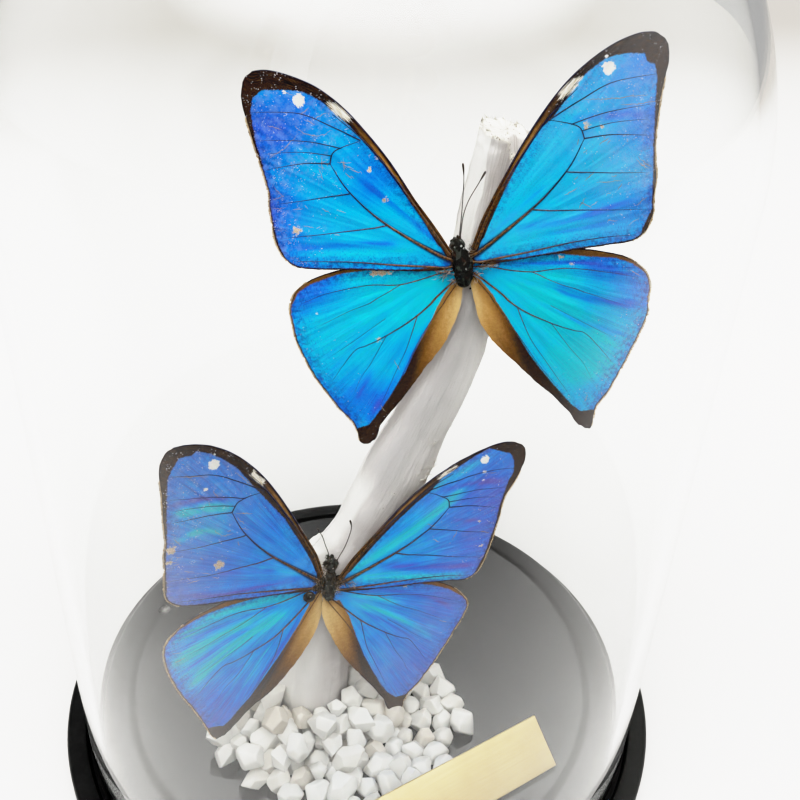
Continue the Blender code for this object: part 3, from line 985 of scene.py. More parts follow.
wingLook = {
    "gridStep": 0.23, "edgeStep": 0.15, "halfThickness": 0.05,
    "veinStart": {"fore": 1.0, "hind": 0.72}, "veinEnd": 0.5,
    "frontWidth": {"fore": 1.0, "hind": 0.5},
    "fringeStep": 0.055, "fringeSizes": (0.16, 0.36),
    "scratches": 36, "scratchReach": (21.0, 33.0), "scratchAngle": (0.12, 0.8),
    "scratchLength": (0.5, 2.4), "scratchRadius": 0.055,
    "flecks": {"Density": 2.0e6, "Smallest": 0.06, "Largest": 0.2, "Lie": 1.0},
    "fore": {
        "hinge": (1.6, 1.5), "layer": 0.45,
        "outline": ((0.4, 0.6), (2.6, 5), (5.8, 10.3), (9.8, 16.9), (13.6, 22.2), (17.2, 26.2),
            (21, 29.2), (25, 31.3), (28.6, 32.4), (31, 32.3), (32.6, 31), (33.1, 28.6), (32.7, 25.6),
            (32.1, 22.6), (31.6, 19.4), (31.2, 16), (30.9, 13.2), (31.2, 10.4), (30.9, 7.2), (30.9, 4.4),
            (29.7, 1.5), (27.6, 0), (24, -0.7), (18, -1.1), (10, -1.2), (1.2, -1.2)),
        # outline points between which the fringe grows, and the thick leading edge runs
        "margin": (12, 21), "front": (0, 10),
        "veins": (  # points, radius at the start and at the end
            (((0.1, -0.8), (11.2, 6.7), (17, 12.4), (19.9, 17.3)), 0.26, 0.13),
            (((19.9, 17.3), (19.3, 19), (17.8, 19.8), (14.4, 20.7)), 0.12, 0.09),
            (((19.9, 17.3), (24.4, 17.6), (30.9, 16.9)), 0.12, 0.06),
            (((17, 12.2), (24.3, 11.5), (30.6, 11)), 0.12, 0.06),
            (((11.2, 6.5), (21, 5.6), (30.2, 5)), 0.13, 0.07),
            (((14.5, 20.8), (19.5, 23.4), (24.6, 25.6), (32.2, 26.3)), 0.12, 0.07),
            (((17.8, 19.7), (23.4, 21.1), (31.8, 21.9)), 0.1, 0.06),
            (((19.6, 18.6), (25, 19.5), (31.5, 19.5)), 0.09, 0.05),
            (((0.1, -1.2), (5, -0.5), (14, 0.1), (28, 1)), 0.2, 0.08),
            (((0.9, 0.3), (3.6, 5.4), (7.6, 12), (12, 18.3), (15, 21.8), (19, 25.2)), 0.3, 0.1),
        ),
    },
    "hind": {
        "hinge": (1.6, -1), "layer": -0.45,
        "outline": ((0.5, -0.4), (5.5, 0.5), (11.5, 1.1), (17.5, 1.2), (22.5, 0.3), (26.6, -1.2),
            (29.2, -3.2), (30.3, -5.8), (30.1, -8.6), (29.7, -11.9), (28.4, -15.5), (26.6, -19.3),
            (24.8, -22.6), (22.8, -26.2), (20.7, -29.3), (19.8, -31.4), (19.6, -33.2), (18.3, -33.9),
            (16.5, -32.6), (15.2, -30.2), (12.6, -26.8), (9.4, -23.2), (6.4, -19.5), (2.8, -15),
            (0.8, -11), (-0.1, -7), (0, -4), (0.3, -1.8)),
        "margin": (5, 16), "front": (0, 7),
        "veins": (
            (((0.2, -1.1), (3.4, -1.5), (10, -2.6), (16, -2.3), (23.4, -3.5), (29.8, -5.3)), 0.17, 0.06),
            (((10, -2.6), (15.3, -5.3), (20.1, -7), (29.2, -11)), 0.11, 0.05),
            (((0.2, -1.4), (7.4, -8.5), (13.1, -12), (16.8, -13.6), (19.4, -14.8), (24.2, -21.1)),
                0.24, 0.06),
            (((7.4, -8.5), (9.3, -14.7), (11.9, -19.7), (16.4, -28.3)), 0.12, 0.06),
            (((13.1, -12), (16.1, -17), (18.6, -20.6), (21.1, -26.4)), 0.1, 0.05),
            (((13.1, -8.7), (22.4, -14.6), (27.2, -16.8)), 0.09, 0.05),
            (((0.1, -1.6), (3.4, -7.2), (6.9, -13.3), (10.4, -19.9), (14.6, -26.4)), 0.16, 0.06),
        ),
    },
}

# What the eight wings show of their own. "edge" is how far each outline point lies inside
# the common outline. Streaks and washes change the hue: above 0 violet, below 0 cyan.
# the haze values are painted light: a milky veil over each wing's colour
wings = {
    "upper_forewing_left": {
        "edge": (0, 0.3, 0.5, 0.3, 0.3, 0.1, -0.1, 0, 0, -0.1, 0.1, -0.1, -0.3, -0.4, -0.3, 0, 0.1, 0.2,
            0, 0.2, 0.3, -0.1, -0.1, -0.2, -1, -1.5),
        "blue": ((1.5, -0.2), (4, 4.9), (6.9, 10.2), (9.8, 14.5), (12.6, 18.2), (14.4, 20.6),
            (16.5, 23.2), (18.3, 24.9), (20.4, 27), (22.2, 28.2), (24.1, 29), (26.7, 29.3), (29.6, 29.5),
            (31.3, 28.5), (32, 26.4), (31.9, 23.8), (31.7, 21), (31.3, 18.8), (30.9, 16), (30.7, 13.4),
            (30.8, 10.9), (30.5, 7.1), (30.2, 4.2), (29.1, 1.3), (27.5, -2), (0.9, -2)),
        "pale": (((20, 27), (18.2, 26.7), (17, 25.6), (16, 24.4), (16.3, 23.6), (17.6, 24.4), (19, 25.9)),),
        "spots": ((24.1, 27.6, 1), (26.2, 28.9, 0.25)),
        "worn": ((26.8, 6.4, 0.7), (11.3, 10.6, 0.45), (13.5, 15.8, 0.35), (12.4, 17.6, 0.2)),
        "scratches": (((25.1, 23.7), (24.3, 22.8), (22.6, 22), (20.9, 21.9), (19.3, 22.6)),
            ((24.8, 22.3), (26.2, 21.1), (27.6, 20), (30, 18.9)), ((22.5, 26.3), (24.1, 25.4)),
            ((19.8, 25.3), (22.2, 24.5)), ((26.4, 28.9), (24.6, 28.3)), ((29.6, 24), (27.4, 23.2)),
            ((23.6, 24.6), (21.8, 23.6))),
        "wash": ((29.5, 23.5, 5.5, 0.42), (30.5, 10, 5, 0.34), (28, 3, 4, 0.16), (22, 26, 5, 0.16),
            (13, 14.5, 4.5, 0.26)),
        "streaks": ((((2.2, 2.2), (8.6, 8.2), (15, 14)), 0.45, 0.34),
            (((9, 2.9), (18, 3.2), (27.5, 3.4)), 0.55, 0.36),
            (((6, 1.2), (18, 1.6), (27, 2.2)), 0.5, -0.14)),
        "hue": 0.19, "streaky": 0.05, "bloom": 0.03, "dust": 0.85,
    },
    "upper_forewing_right": {
        "edge": (0, -0.3, -0.4, -0.2, -0.1, -0.1, -0.1, -0.2, -0.1, 0, 0.2, 0.2, 0.3, 0.3, 0.2, 0.1, -0.3,
            -0.2, -0.1, -0.1, -0.2, -0.2, 0.1, 0, -0.9, -1.5),
        "blue": ((0.9, -0.9), (3.7, 4.7), (7, 10.9), (10.1, 16), (12.7, 19.4), (14.7, 20.9), (17.6, 24.3),
            (19, 26.2), (20.6, 27.6), (23.2, 29.2), (24.8, 29.6), (27.1, 29.7), (29.2, 29.4),
            (29.5, 28.3), (30.8, 27.7), (31.1, 25.8), (31, 23.5), (30.9, 20.9), (30.8, 17.7),
            (30.7, 14.8), (30.8, 11.5), (30.7, 7.8), (30.7, 5), (29.2, 1.9), (28, -2), (0.9, -2)),
        "pale": (
            ((16, 24.9), (17.3, 26.1), (18.7, 26.9), (19.8, 26.9), (18.9, 25.9), (17.9, 25),
             (16.5, 23.8), (15.9, 24)),),
        "spots": ((23.7, 27.9, 1), (23.4, 29.5, 0.22)),
        "worn": ((20.2, 19.5, 0.5), (22.6, 19, 0.25)),
        "scratches": (((19.7, 23.5), (22.1, 23.3), (24.8, 23.2), (27.4, 23.3), (29.8, 23.2)),
            ((25.4, 22.2), (27.2, 22), (29.3, 22.1), (31.2, 22.3)),
            ((28.3, 13.9), (29.4, 12.8), (30.6, 11.8)), ((28, 13.4), (29.1, 12.3), (30.2, 11.5)),
            ((21.7, 10.1), (23.9, 10.1), (25.9, 10.1)), ((16.3, 8.4), (18.6, 9.4))),
        "wash": ((30, 18.5, 4.5, 0.3), (29, 28, 3.5, 0.3), (24, 25, 4, 0.1), (24, 4, 5, 0.14),
            (30.5, 6, 3.5, 0.2)),
        "streaks": ((((2.4, 1.2), (8, 6), (13, 10)), 0.4, 0.22),
            (((8, 3.4), (18, 4.4), (28, 7)), 0.7, 0.34), (((12, 2), (20, 2.6), (29, 4.4)), 0.5, 0.18),
            (((17.6, 20.6), (24, 20.6), (30, 20.4)), 0.7, 0.28)),
        "hue": 0.13, "streaky": 0.12, "bloom": 0.16, "dust": 0.75,
    },
    "upper_hindwing_left": {
        "edge": (-0.9, -0.1, 0.1, 0, -0.1, -0.2, -0.1, 0.1, 0.1, 0.1, 0, -0.3, -0.2, -0.1, 0.1, -0.1, 0,
            -0.3, -0.4, 0.1, -0.2, 0, 0.3, 0.2, 0.2, -0.5, -1.1, -1.4),
        "blue": ((1.2, -1.4), (2.1, -0.3), (8.6, 0.6), (13.1, 0.5), (18.5, 0.3), (21, 0), (23.8, -0.8),
            (26.1, -1.5), (28.3, -2.8), (29.6, -4.6), (33, -8), (30, -20), (24, -31), (19.8, -30.6),
            (17.5, -29.9), (15.8, -27.8), (13.5, -24.7), (11.9, -22.2), (10, -19.4), (8.5, -16.1),
            (6.7, -12.9), (4.9, -9.8), (3.6, -6.9), (1.2, -3.5)),
        "spots": ((25.4, -6.6, 0.22),),
        "worn": ((13.2, 0, 0.9), (14.6, 0, 0.7), (11.9, -0.1, 0.45), (14.6, -12.6, 0.35)),
        "scratches": (((15, -26), (14.2, -27.4)), ((12, -17), (11, -19))),
        "wash": ((24, -1.5, 4, 0.36), (28.5, -4, 3.5, 0.3), (20, -25, 6.5, 0.3), (11, -15, 3.5, 0.2),
            (15.5, -24, 4, 0.2)),
        "streaks": ((((4, -8.6), (8, -15.4), (12.6, -22.4), (17.4, -28.6)), 0.9, 0.3),
            (((14, -9.6), (20, -14.6), (25, -19.8)), 0.5, 0.2),
            (((10, -6), (18, -11), (25.5, -16)), 0.4, 0.16), (((16, -18), (19.6, -25)), 0.5, 0.22)),
        "pale": (), "hue": 0.05, "fold": 0.9, "streaky": 0.22, "bloom": 0.03, "dust": 0.35,
    },
    "upper_hindwing_right": {
        "edge": (-0.9, 0, -0.1, 0, 0.1, 0, 0.1, -0.1, 0, -0.2, 0.1, 0.1, 0, 0, 0.2, -0.4, 0, 0.6, 0.5,
            0.3, 0.2, -0.1, -0.2, -0.4, -0.6, -0.3, -0.9, -1.4),
        "blue": ((0.6, -1.6), (2.5, -1.1), (6.1, 0.1), (10.8, 0.5), (15.4, 0.4), (19.9, -0.5),
            (24.4, -1.1), (27.3, -2.3), (29.3, -3.9), (33, -8), (30, -20), (24, -31), (19.9, -29.7),
            (17.7, -29.9), (16, -28.4), (14.3, -26.1), (12.5, -23.6), (10.6, -20.8), (8.8, -17.9),
            (6.9, -14.1), (5, -10.1), (2.8, -6.1), (0.5, -2.7)),
        "worn": ((15, -0.2, 0.35), (17, -1.6, 0.3)),
        "scratches": (((19, -26.5), (18.4, -28)), ((27, -3.4), (28.6, -4.6))),
        "wash": ((22, -2, 4, 0.3), (28, -6, 3.5, 0.26), (21, -26, 4, 0.1), (14, -9, 5, -0.24),
            (18, -20, 6, -0.3)),
        "streaks": ((((4, -1), (12, -1.2), (20, -1.8), (28, -5)), 0.6, 0.4),
            (((13, -5), (20, -8), (29, -9.6)), 0.8, 0.42),
            (((10, -7.4), (18, -12), (27, -15.6)), 0.55, 0.36),
            (((4, -3.6), (12, -7.4), (20, -13), (24, -19)), 0.7, -0.14),
            (((8, -3.4), (16, -4), (24, -6)), 0.6, -0.12)),
        "pale": (), "spots": (), "hue": 0.12, "fold": 0.84, "streaky": 0.28, "bloom": 0.08, "dust": 0.4,
    },
    "lower_forewing_left": {
        "edge": (-0.6, -1, -0.9, -0.7, -0.7, -0.6, -0.6, -0.3, 0.5, 0.7, 0.7, 0.3, 0, -0.1, -0.3, -0.3,
            -0.2, 0, 0, 0.2, -0.6, -0.7, -0.7, -0.5, -1, -1.5),
        "blue": ((0.5, 0.6), (5.3, 8.5), (9.4, 14.8), (12.7, 18.6), (15.8, 22.1), (19.3, 26.4),
            (22.1, 28.6), (24.3, 29.8), (26.7, 30.6), (27.6, 29.9), (29.7, 29.7), (30.8, 27.3),
            (31.3, 25.7), (31.2, 21), (30.9, 16.2), (30.7, 12.4), (30.7, 8.7), (30.3, 4), (30.2, 1.6),
            (29, -2), (0.5, -2)),
        "pale": (((16.3, 25.8), (15.1, 24.4), (13.9, 23.3), (14.4, 22.4), (15.7, 23.5), (16.8, 24.9)),),
        "spots": ((23.6, 27.7, 1), (24.7, 23.1, 0.3), (23.7, 29.7, 0.2)),
        "worn": ((21.1, 6.8, 0.85), (29.9, 11.6, 0.8), (30.1, 9, 0.4)),
        "scratches": (((30, 26.2), (28.2, 25.9), (26.8, 25.9), (24.5, 25.5)),
            ((19.7, 25.8), (17.5, 23.8), (16.1, 22.6)), ((31, 9.2), (28.7, 8.8))),
        "wash": ((24, 5, 7, 0.1), (29, 2.5, 4, 0.16), (24, 16.5, 5, -0.14), (12, 12, 6, 0.04)),
        "streaks": ((((18.5, 18.4), (24, 19.2), (30.5, 18.6)), 0.9, -0.6),
            (((20, 20.6), (25, 21.2), (31, 20.6)), 0.5, 0.5),
            (((20.5, 13.6), (25, 14.6), (30, 12.8)), 0.7, -0.5),
            (((4, 0.6), (12, 0.6), (20, 0.2), (28, 1.6)), 0.55, 0.5),
            (((3, 1.2), (9, 3.4), (14, 5)), 0.6, -0.2), (((9, 3.4), (16, 4.4), (22, 5.2)), 0.5, 0.3)),
        "hue": 0.42, "streaky": 0.42, "bloom": 0.27, "dust": 0.75,
    },
    "lower_forewing_right": {
        "edge": (0, -0.1, 0.1, 0.3, 0.6, 1, 1.1, 0.9, 0.6, 0.5, -0.4, -0.9, -1, -0.7, 0, -0.5, -0.7, -0.2,
            -0.2, 0.2, 0.1, -0.3, 0.1, 0, -0.9, -1.5),
        "blue": ((2.3, 1.7), (6.4, 8.3), (10, 13.8), (13.2, 17.9), (15.5, 20.2), (17.5, 23.6),
            (20.6, 26.3), (23.2, 28.6), (25.9, 30.3), (30.5, 29.4), (31.6, 27.8), (32.2, 25.5),
            (31.5, 23.1), (31.2, 20.4), (31, 16.9), (31.1, 12.3), (30.7, 8.4), (30.4, 5.5), (29.3, 1.8),
            (28, -2), (0.9, -2)),
        "pale": (((16.5, 23.5), (17.8, 25.1), (19.7, 26.4), (20, 26.2), (18.5, 24.7), (16.9, 23.1)),),
        "spots": ((25.4, 27.8, 0.9), (25.8, 25.2, 0.35), (26.1, 23.4, 0.22)),
        "worn": ((29.2, 7.9, 0.35), (27.5, 14, 0.2)),
        "scratches": (((28.6, 25), (26.8, 25)), ((30.4, 5.6), (29.4, 4.6))),
        "wash": ((29, 20, 7, 0.3), (28, 8, 6, 0.26), (12, 14, 6, -0.04), (20, 24, 5, -0.06)),
        "streaks": ((((1.4, 0.8), (8, 6.4), (14, 11.9), (18.4, 17), (24, 23)), 1.1, -0.7),
            (((3, 0.2), (12, 0.8), (20, 0.4), (28, 0.8)), 0.9, -0.6),
            (((9, 3.4), (18, 3), (29, 3.2)), 0.9, 0.5), (((18, 20.4), (24, 22.6), (31, 23.2)), 0.6, 0.42),
            (((15, 20.4), (21, 25), (26, 28.6)), 0.8, -0.3),
            (((21, 14), (26, 14), (30.5, 13.6)), 0.5, 0.26)),
        "hue": 0.36, "streaky": 0.48, "bloom": 0.23, "dust": 0.4,
    },
    "lower_hindwing_left": {
        "edge": (-0.9, 0.1, -0.2, -0.1, 0.5, 1.1, 1.4, 1, 0.4, 0.7, 0.6, 0.4, 0.5, 0.4, -0.4, -0.5, 0.7,
            1.6, 0.8, -0.1, -0.7, -1.9, -2.2, -1.7, -1.7, -1.8, -1.8, -1.6),
        "blue": ((1.4, -1.8), (3, -0.9), (7, -0.2), (12.7, 0.3), (17.1, 0), (21.4, -0.8), (24.6, -2),
            (26.9, -3), (28.4, -4.4), (33, -8), (30, -20), (24, -31), (20.2, -29.3), (17.6, -29.8),
            (16.2, -28.5), (14.4, -26.2), (12.4, -24), (10.6, -21.4), (8.8, -18.8), (6.8, -15.7),
            (5.1, -12.6), (2.9, -8.4), (1, -4.3)),
        "scratches": (((26.4, -8.6), (28, -8.4)), ((25.6, -10), (27.6, -10.6))),
        "wash": ((19, -26, 6, 0.2), (25, -11, 6, -0.26), (13, -5, 5, -0.12)),
        "streaks": ((((3, -1.6), (12, -0.9), (20, -2), (27.6, -5.6)), 1.2, -0.6),
            (((5, -4.4), (14, -8.8), (21, -13.6), (25, -18.4)), 1.3, -0.6),
            (((12, -4.6), (20, -7), (28.4, -11.4)), 1.2, -0.5),
            (((10, -5.6), (18, -8.6), (27, -14)), 0.4, 0.26),
            (((6, -2.6), (14, -3.6), (22, -5.6), (28, -9)), 0.5, 0.2),
            (((8.6, -12), (12.6, -18.6), (16, -25)), 0.35, -0.26),
            (((11.4, -12.4), (15.6, -19), (19, -25.4)), 0.3, -0.26),
            (((2.6, -6.6), (6.4, -13.6), (11, -20.8)), 0.5, 0.24)),
        "pale": (), "spots": (), "worn": (), "hue": 0.4, "fold": 0.92, "streaky": 0.6, "bloom": 0.13,
        "dust": 0.12,
    },
    "lower_hindwing_right": {
        "edge": (-0.9, -0.2, -0.1, 0.1, -0.2, 0.2, 0.5, -0.2, 0, 0.8, 0.8, 0.5, 0.1, -0.1, -0.2, -0.5,
            -0.6, -0.5, 0, 0, -0.1, -0.1, -0.3, 0.2, 0.2, -0.7, -1.5, -1.7),
        "blue": ((0.6, -1.4), (1.4, -0.9), (7.6, 0.9), (12.5, 0.8), (17.6, 0.4), (21.5, -0.4),
            (25.6, -1.8), (28.6, -3.6), (33, -8), (30, -20), (24, -31), (20.4, -29.6), (18.1, -30.1),
            (16, -28.5), (14.1, -26), (12, -22.6), (9.3, -17.9), (7.2, -13.4), (4.6, -7.2), (1.7, -2.4)),
        "worn": ((15.6, -0.4, 0.3),),
        "scratches": (((24.6, -9.6), (26.4, -10.2)),),
        "wash": ((24, -22, 7, 0.2), (25, -4, 5, 0.26), (7, -5, 5, -0.1)),
        "streaks": ((((4, -1.2), (12, -1.4), (22, -3.6), (28, -8)), 0.5, 0.34),
            (((3, -1.8), (9, -3), (16, -4.6)), 0.5, -0.34),
            (((5, -4), (12, -6.8), (20, -11.4), (25, -16)), 0.7, -0.4),
            (((6, -5.6), (13, -9.6), (21, -15.4)), 0.4, 0.2)),
        "pale": (), "spots": (), "hue": 0.42, "fold": 0.92, "streaky": 0.5, "bloom": 0.27, "dust": 0.15,
    },
}

butterflies = {
    "upper": {
        "place": (16.5, -8.4, 118.6), "turn": (80, -17.5, 2.2), "bodyTurn": 0.0,
        # lift of the wing tips, twist, forewing swing, hindwing swing
        "left": (3, 6.5, 11.5, 12), "right": (7.5, 3.5, -9.5, -9),
        # across, along the body towards the head, height, radius
        "spine": ((-0.9, -4.5, 0.7, 0.45), (-0.9, -4.2, 0.7, 0.95), (-0.85, -3.5, 0.5, 1.4),
            (-0.7, -2.6, 0.25, 1.65), (-0.5, -1.4, 0, 1.75), (-0.4, -0.2, -0.1, 1.8), (-0.4, 0.8, 0, 1.7),
            (-0.45, 1.5, 0.15, 1.4), (-0.5, 2, 0.3, 1.2), (-0.5, 2.6, 0.35, 1.35),
            (-0.48, 3.2, 0.35, 1.35), (-0.45, 3.8, 0.3, 1.05), (-0.4, 4.2, 0.3, 0.55)),
        # place, radii: eyes, mouthparts, shoulders, wing roots
        "lumps": (((0.35, 3, 0.8), (0.5, 0.6, 0.5)), ((-1.35, 3, 0.8), (0.5, 0.6, 0.5)),
            ((-0.1, 4.25, 0.5), (0.22, 0.45, 0.25)), ((-0.75, 4.15, 0.5), (0.22, 0.4, 0.25)),
            ((-1.35, 4, 0.6), (0.3, 0.22, 0.2)), ((0.45, 0.9, 0.7), (0.7, 1.1, 0.6)),
            ((-1.25, 0.9, 0.7), (0.7, 1.1, 0.6)), ((0.75, -0.6, 0.4), (0.75, 1.3, 0.6)),
            ((-1.65, -0.8, 0.4), (0.7, 1.3, 0.6)), ((-0.3, -2.6, 1.2), (0.9, 1, 0.6)),
            ((-0.1, -5.1, 0.5), (0.18, 0.2, 0.15))),
        # place, spread, count
        "tufts": ((-3.5, -1.3, 0.75, 0.4, 150), (3.2, -1.9, 1.1, 0.35, 150), (-2.3, -3.2, 0.4, 0.5, 60),
            (1.3, -3.4, 0.4, 0.5, 60), (1.4, 1.6, 0.3, 0.6, 50)),
        "coat": {"Density": 0.35e7, "Smallest": 0.25, "Largest": 0.6}, "fluff": 0.08,
        "antennae": {
            "left": ((0.1, 4, 0.6), (0.5, 5.2, 0.8), (1.5, 8.1, 1.2), (2.5, 11.3, 1.7), (3.3, 14.1, 2.2),
                (3.7, 16.5, 2.6)),
            "right": ((0.3, 4, 0.6), (0.7, 5.2, 0.8), (1.8, 7.9, 1), (3.3, 10.2, 1.5), (5.2, 12.2, 2),
                (7.1, 14.2, 2.5)),
        },
    },
    "lower": {
        "place": (-6.6, -23.6, 56.1), "turn": (75.5, 19.5, 11.3), "bodyTurn": 17.0,
        "left": (16, 4.5, -13.5, -16), "right": (-3.5, 8.5, 11, 12.5),
        "spine": ((0.44, -3.3, 0.6, 0.4), (0.45, -3, 0.6, 0.8), (0.5, -2.2, 0.5, 1.15),
            (0.6, -1.2, 0.3, 1.3), (0.75, 0, 0.1, 1.3), (0.85, 1.2, 0.1, 1.15), (0.95, 2.2, 0.15, 1),
            (1, 3, 0.3, 0.85), (0.95, 3.7, 0.4, 1.15), (0.88, 4.5, 0.4, 1.35), (0.85, 5.1, 0.35, 1.1),
            (0.8, 5.5, 0.3, 0.6)),
        "lumps": (((0.2, 6.05, 0.5), (0.42, 0.5, 0.4)), ((1.07, 6, 0.5), (0.42, 0.5, 0.4)),
            ((-0.2, 4.7, 0.7), (0.5, 0.6, 0.5)), ((1.9, 4.6, 0.7), (0.5, 0.6, 0.5)),
            ((-1.3, 1.2, 0.3), (1.1, 1.4, 0.5)), ((2.4, 0.7, 0.3), (0.9, 1.1, 0.45)),
            ((-1.9, -0.4, 0.4), (1.1, 0.9, 0.45)), ((-3.4, -2.1, 0.75), (1.2, 1.15, 0.35))),
        "tufts": ((-2.3, 0.5, 0.7, 0.9, 190), (3.9, 1.4, 0.9, 0.55, 150), (2.2, -0.4, 0.5, 0.8, 90),
            (-1.3, 2.6, 0.5, 0.8, 90)),
        "coat": {"Density": 2.2e7, "Smallest": 0.3, "Largest": 0.85}, "fluff": 0.4,
        "antennae": {
            "left": ((-1.3, 5.9, 0.6), (-1.9, 7, 0.8), (-3, 8.5, 1.2), (-4.1, 10.1, 1.7),
                (-5.2, 11.3, 2.2), (-5.9, 12, 2.5)),
            "right": ((0.5, 5.6, 0.6), (0.6, 6.5, 0.8), (0.9, 8.7, 1.2), (0.9, 11.1, 1.7),
                (0.6, 13.4, 2.2), (-0.3, 15, 2.6)),
        },
    },
}


def bodyMatrix(facts):
    turn = Euler([math.radians(angle) for angle in facts["turn"]]).to_matrix().to_4x4()
    return Matrix.Translation(Vector(facts["place"])) @ turn


def wingMatrix(facts, side, kind):
    lift, twist, foreSwing, hindSwing = facts[side]
    shape = wingLook[kind]
    swing = foreSwing if kind == "fore" else hindSwing
    mirror = Matrix.Scale(-1.0 if side == "left" else 1.0, 4, (1.0, 0.0, 0.0))
    return (bodyMatrix(facts) @ mirror
            @ Matrix.Translation((shape["hinge"][0], 0.0, 0.0))
            @ Matrix.Rotation(math.radians(-lift), 4, "Y")
            @ Matrix.Rotation(math.radians(twist), 4, "X")
            @ Matrix.Translation((0.0, shape["hinge"][1], shape["layer"]))
            @ Matrix.Rotation(math.radians(swing), 4, "Z"))


def wingGrid(shape):
    # even points inside the common outline, joined into triangles
    edge = smoothLine(shape["outline"], wingLook["edgeStep"], closed=True)
    gap = wingLook["gridStep"]
    low, high = edge.min(0), edge.max(0)
    rows = []
    for number, up in enumerate(np.arange(low[1], high[1], gap * math.sqrt(0.75))):
        across = np.arange(low[0] + 0.5 * gap * (number % 2), high[0], gap)
        rows.append(np.stack([across, np.full(len(across), up)], 1))
    inner = np.concatenate(rows)
    inner = inner[insideOf(inner, edge)]
    inner = inner[lineDistance(inner, edge, closed=True)[0] > 0.6 * gap]
    spots = [Vector(spot) for spot in np.concatenate([edge, inner])]
    loop = [list(range(len(edge)))]
    points, _, faces, *_ = delaunay_2d_cdt(spots, [], loop, 1, 1e-6)
    faces = np.array(faces)
    points = np.array([tuple(point) for point in points])
    first, second, third = (points[faces[:, corner]] for corner in range(3))
    side, other = second - first, third - first
    back = side[:, 0] * other[:, 1] - side[:, 1] * other[:, 0] < 0.0
    faces[back] = faces[back][:, ::-1]
    return points, faces


def rimEdges(faces):
    # directed edges that belong to one face only
    edges = np.concatenate([faces[:, [0, 1]], faces[:, [1, 2]], faces[:, [2, 0]]])
    key = edges[:, 0] * 1000000 + edges[:, 1]
    twin = edges[:, 1] * 1000000 + edges[:, 0]
    return edges[~np.isin(key, twin)]


def edgeShift(points, shape, shifts):
    # moves the common shape to one wing's own outline
    line = smoothLine(shape["outline"], 0.8, closed=True)
    marks = [int(np.argmin(((line - spot) ** 2).sum(1))) for spot in np.array(shape["outline"])]
    size = np.interp(np.arange(len(line)), marks, shifts, period=len(line))
    way = unit(np.roll(line, -1, 0) - np.roll(line, 1, 0))
    push = np.stack([way[:, 1], -way[:, 0]], 1) * size[:, None]
    total, weights = np.zeros_like(points), np.zeros(len(points))
    for spot, move in zip(line, push):
        weight = 1.0 / (((points - spot) ** 2).sum(1) + 0.8) ** 2
        total += weight[:, None] * move
        weights += weight
    return points + total / weights[:, None]


def wingRelief(points):
    # height of the membrane: soft pleats between the veins, more towards the margin
    reach = np.linalg.norm(points, axis=1)
    angle = np.arctan2(points[:, 1], points[:, 0])
    pleat = np.sin(angle * 34.0 + 0.6 * softNoise(deep(points), 9.0, 51))
    fine = softNoise(deep(np.stack([angle * 60.0, reach * 0.12], 1)), 1.0, 53)
    swell = softNoise(deep(points), 8.0, 55)
    share = ease(reach, 2.0, 20.0)
    return share * (0.07 * pleat + 0.05 * fine + 0.10 * swell)


def veinLines(shape, kind):
    for points, start, end in shape["veins"]:
        start, end = start * wingLook["veinStart"][kind], end * wingLook["veinEnd"]
        line = smoothLine(points, 0.45)
        share = np.linspace(0.0, 1.0, len(line))
        yield line, start * (1.0 - share) ** 0.8 + end * (1.0 - (1.0 - share) ** 0.8)


noPatch = -9.0  # the depth of a place that lies in no patch


def sharedFields(points, shape, kind):
    # what the four wings of one kind have in common, from the common outline
    outline, (start, end), (first, last) = shape["outline"], shape["front"], shape["margin"]
    edge = smoothLine(outline, wingLook["edgeStep"], closed=True)
    rim = lineDistance(points, edge, closed=True)[0]
    front, frontAlong = lineDistance(points, smoothLine(outline[start:end], 0.4))
    hem = lineDistance(points, smoothLine(outline[first:last + 1], 0.4))[0]
    vein = np.zeros(len(points))
    for line, radii in veinLines(shape, kind):
        gap, along = lineDistance(points, line)
        width = np.interp(along, np.linspace(0, 1, len(radii)), radii)
        vein = np.maximum(vein, np.exp(-(gap / (1.6 * width + 0.08)) ** 2) * width / 0.2)
    return {"rim": rim, "front": front, "frontAlong": frontAlong, "hem": hem,
            "vein": np.minimum(vein, 1.2)}


def gapTo(points, x, y):
    return np.hypot(points[:, 0] - x, points[:, 1] - y)


def spotDepth(points, spots):
    # how deep each place lies inside the nearest round spot
    depths = [radius - gapTo(points, x, y) for x, y, radius in spots]
    return np.max([np.full(len(points), noPatch), *depths], axis=0)


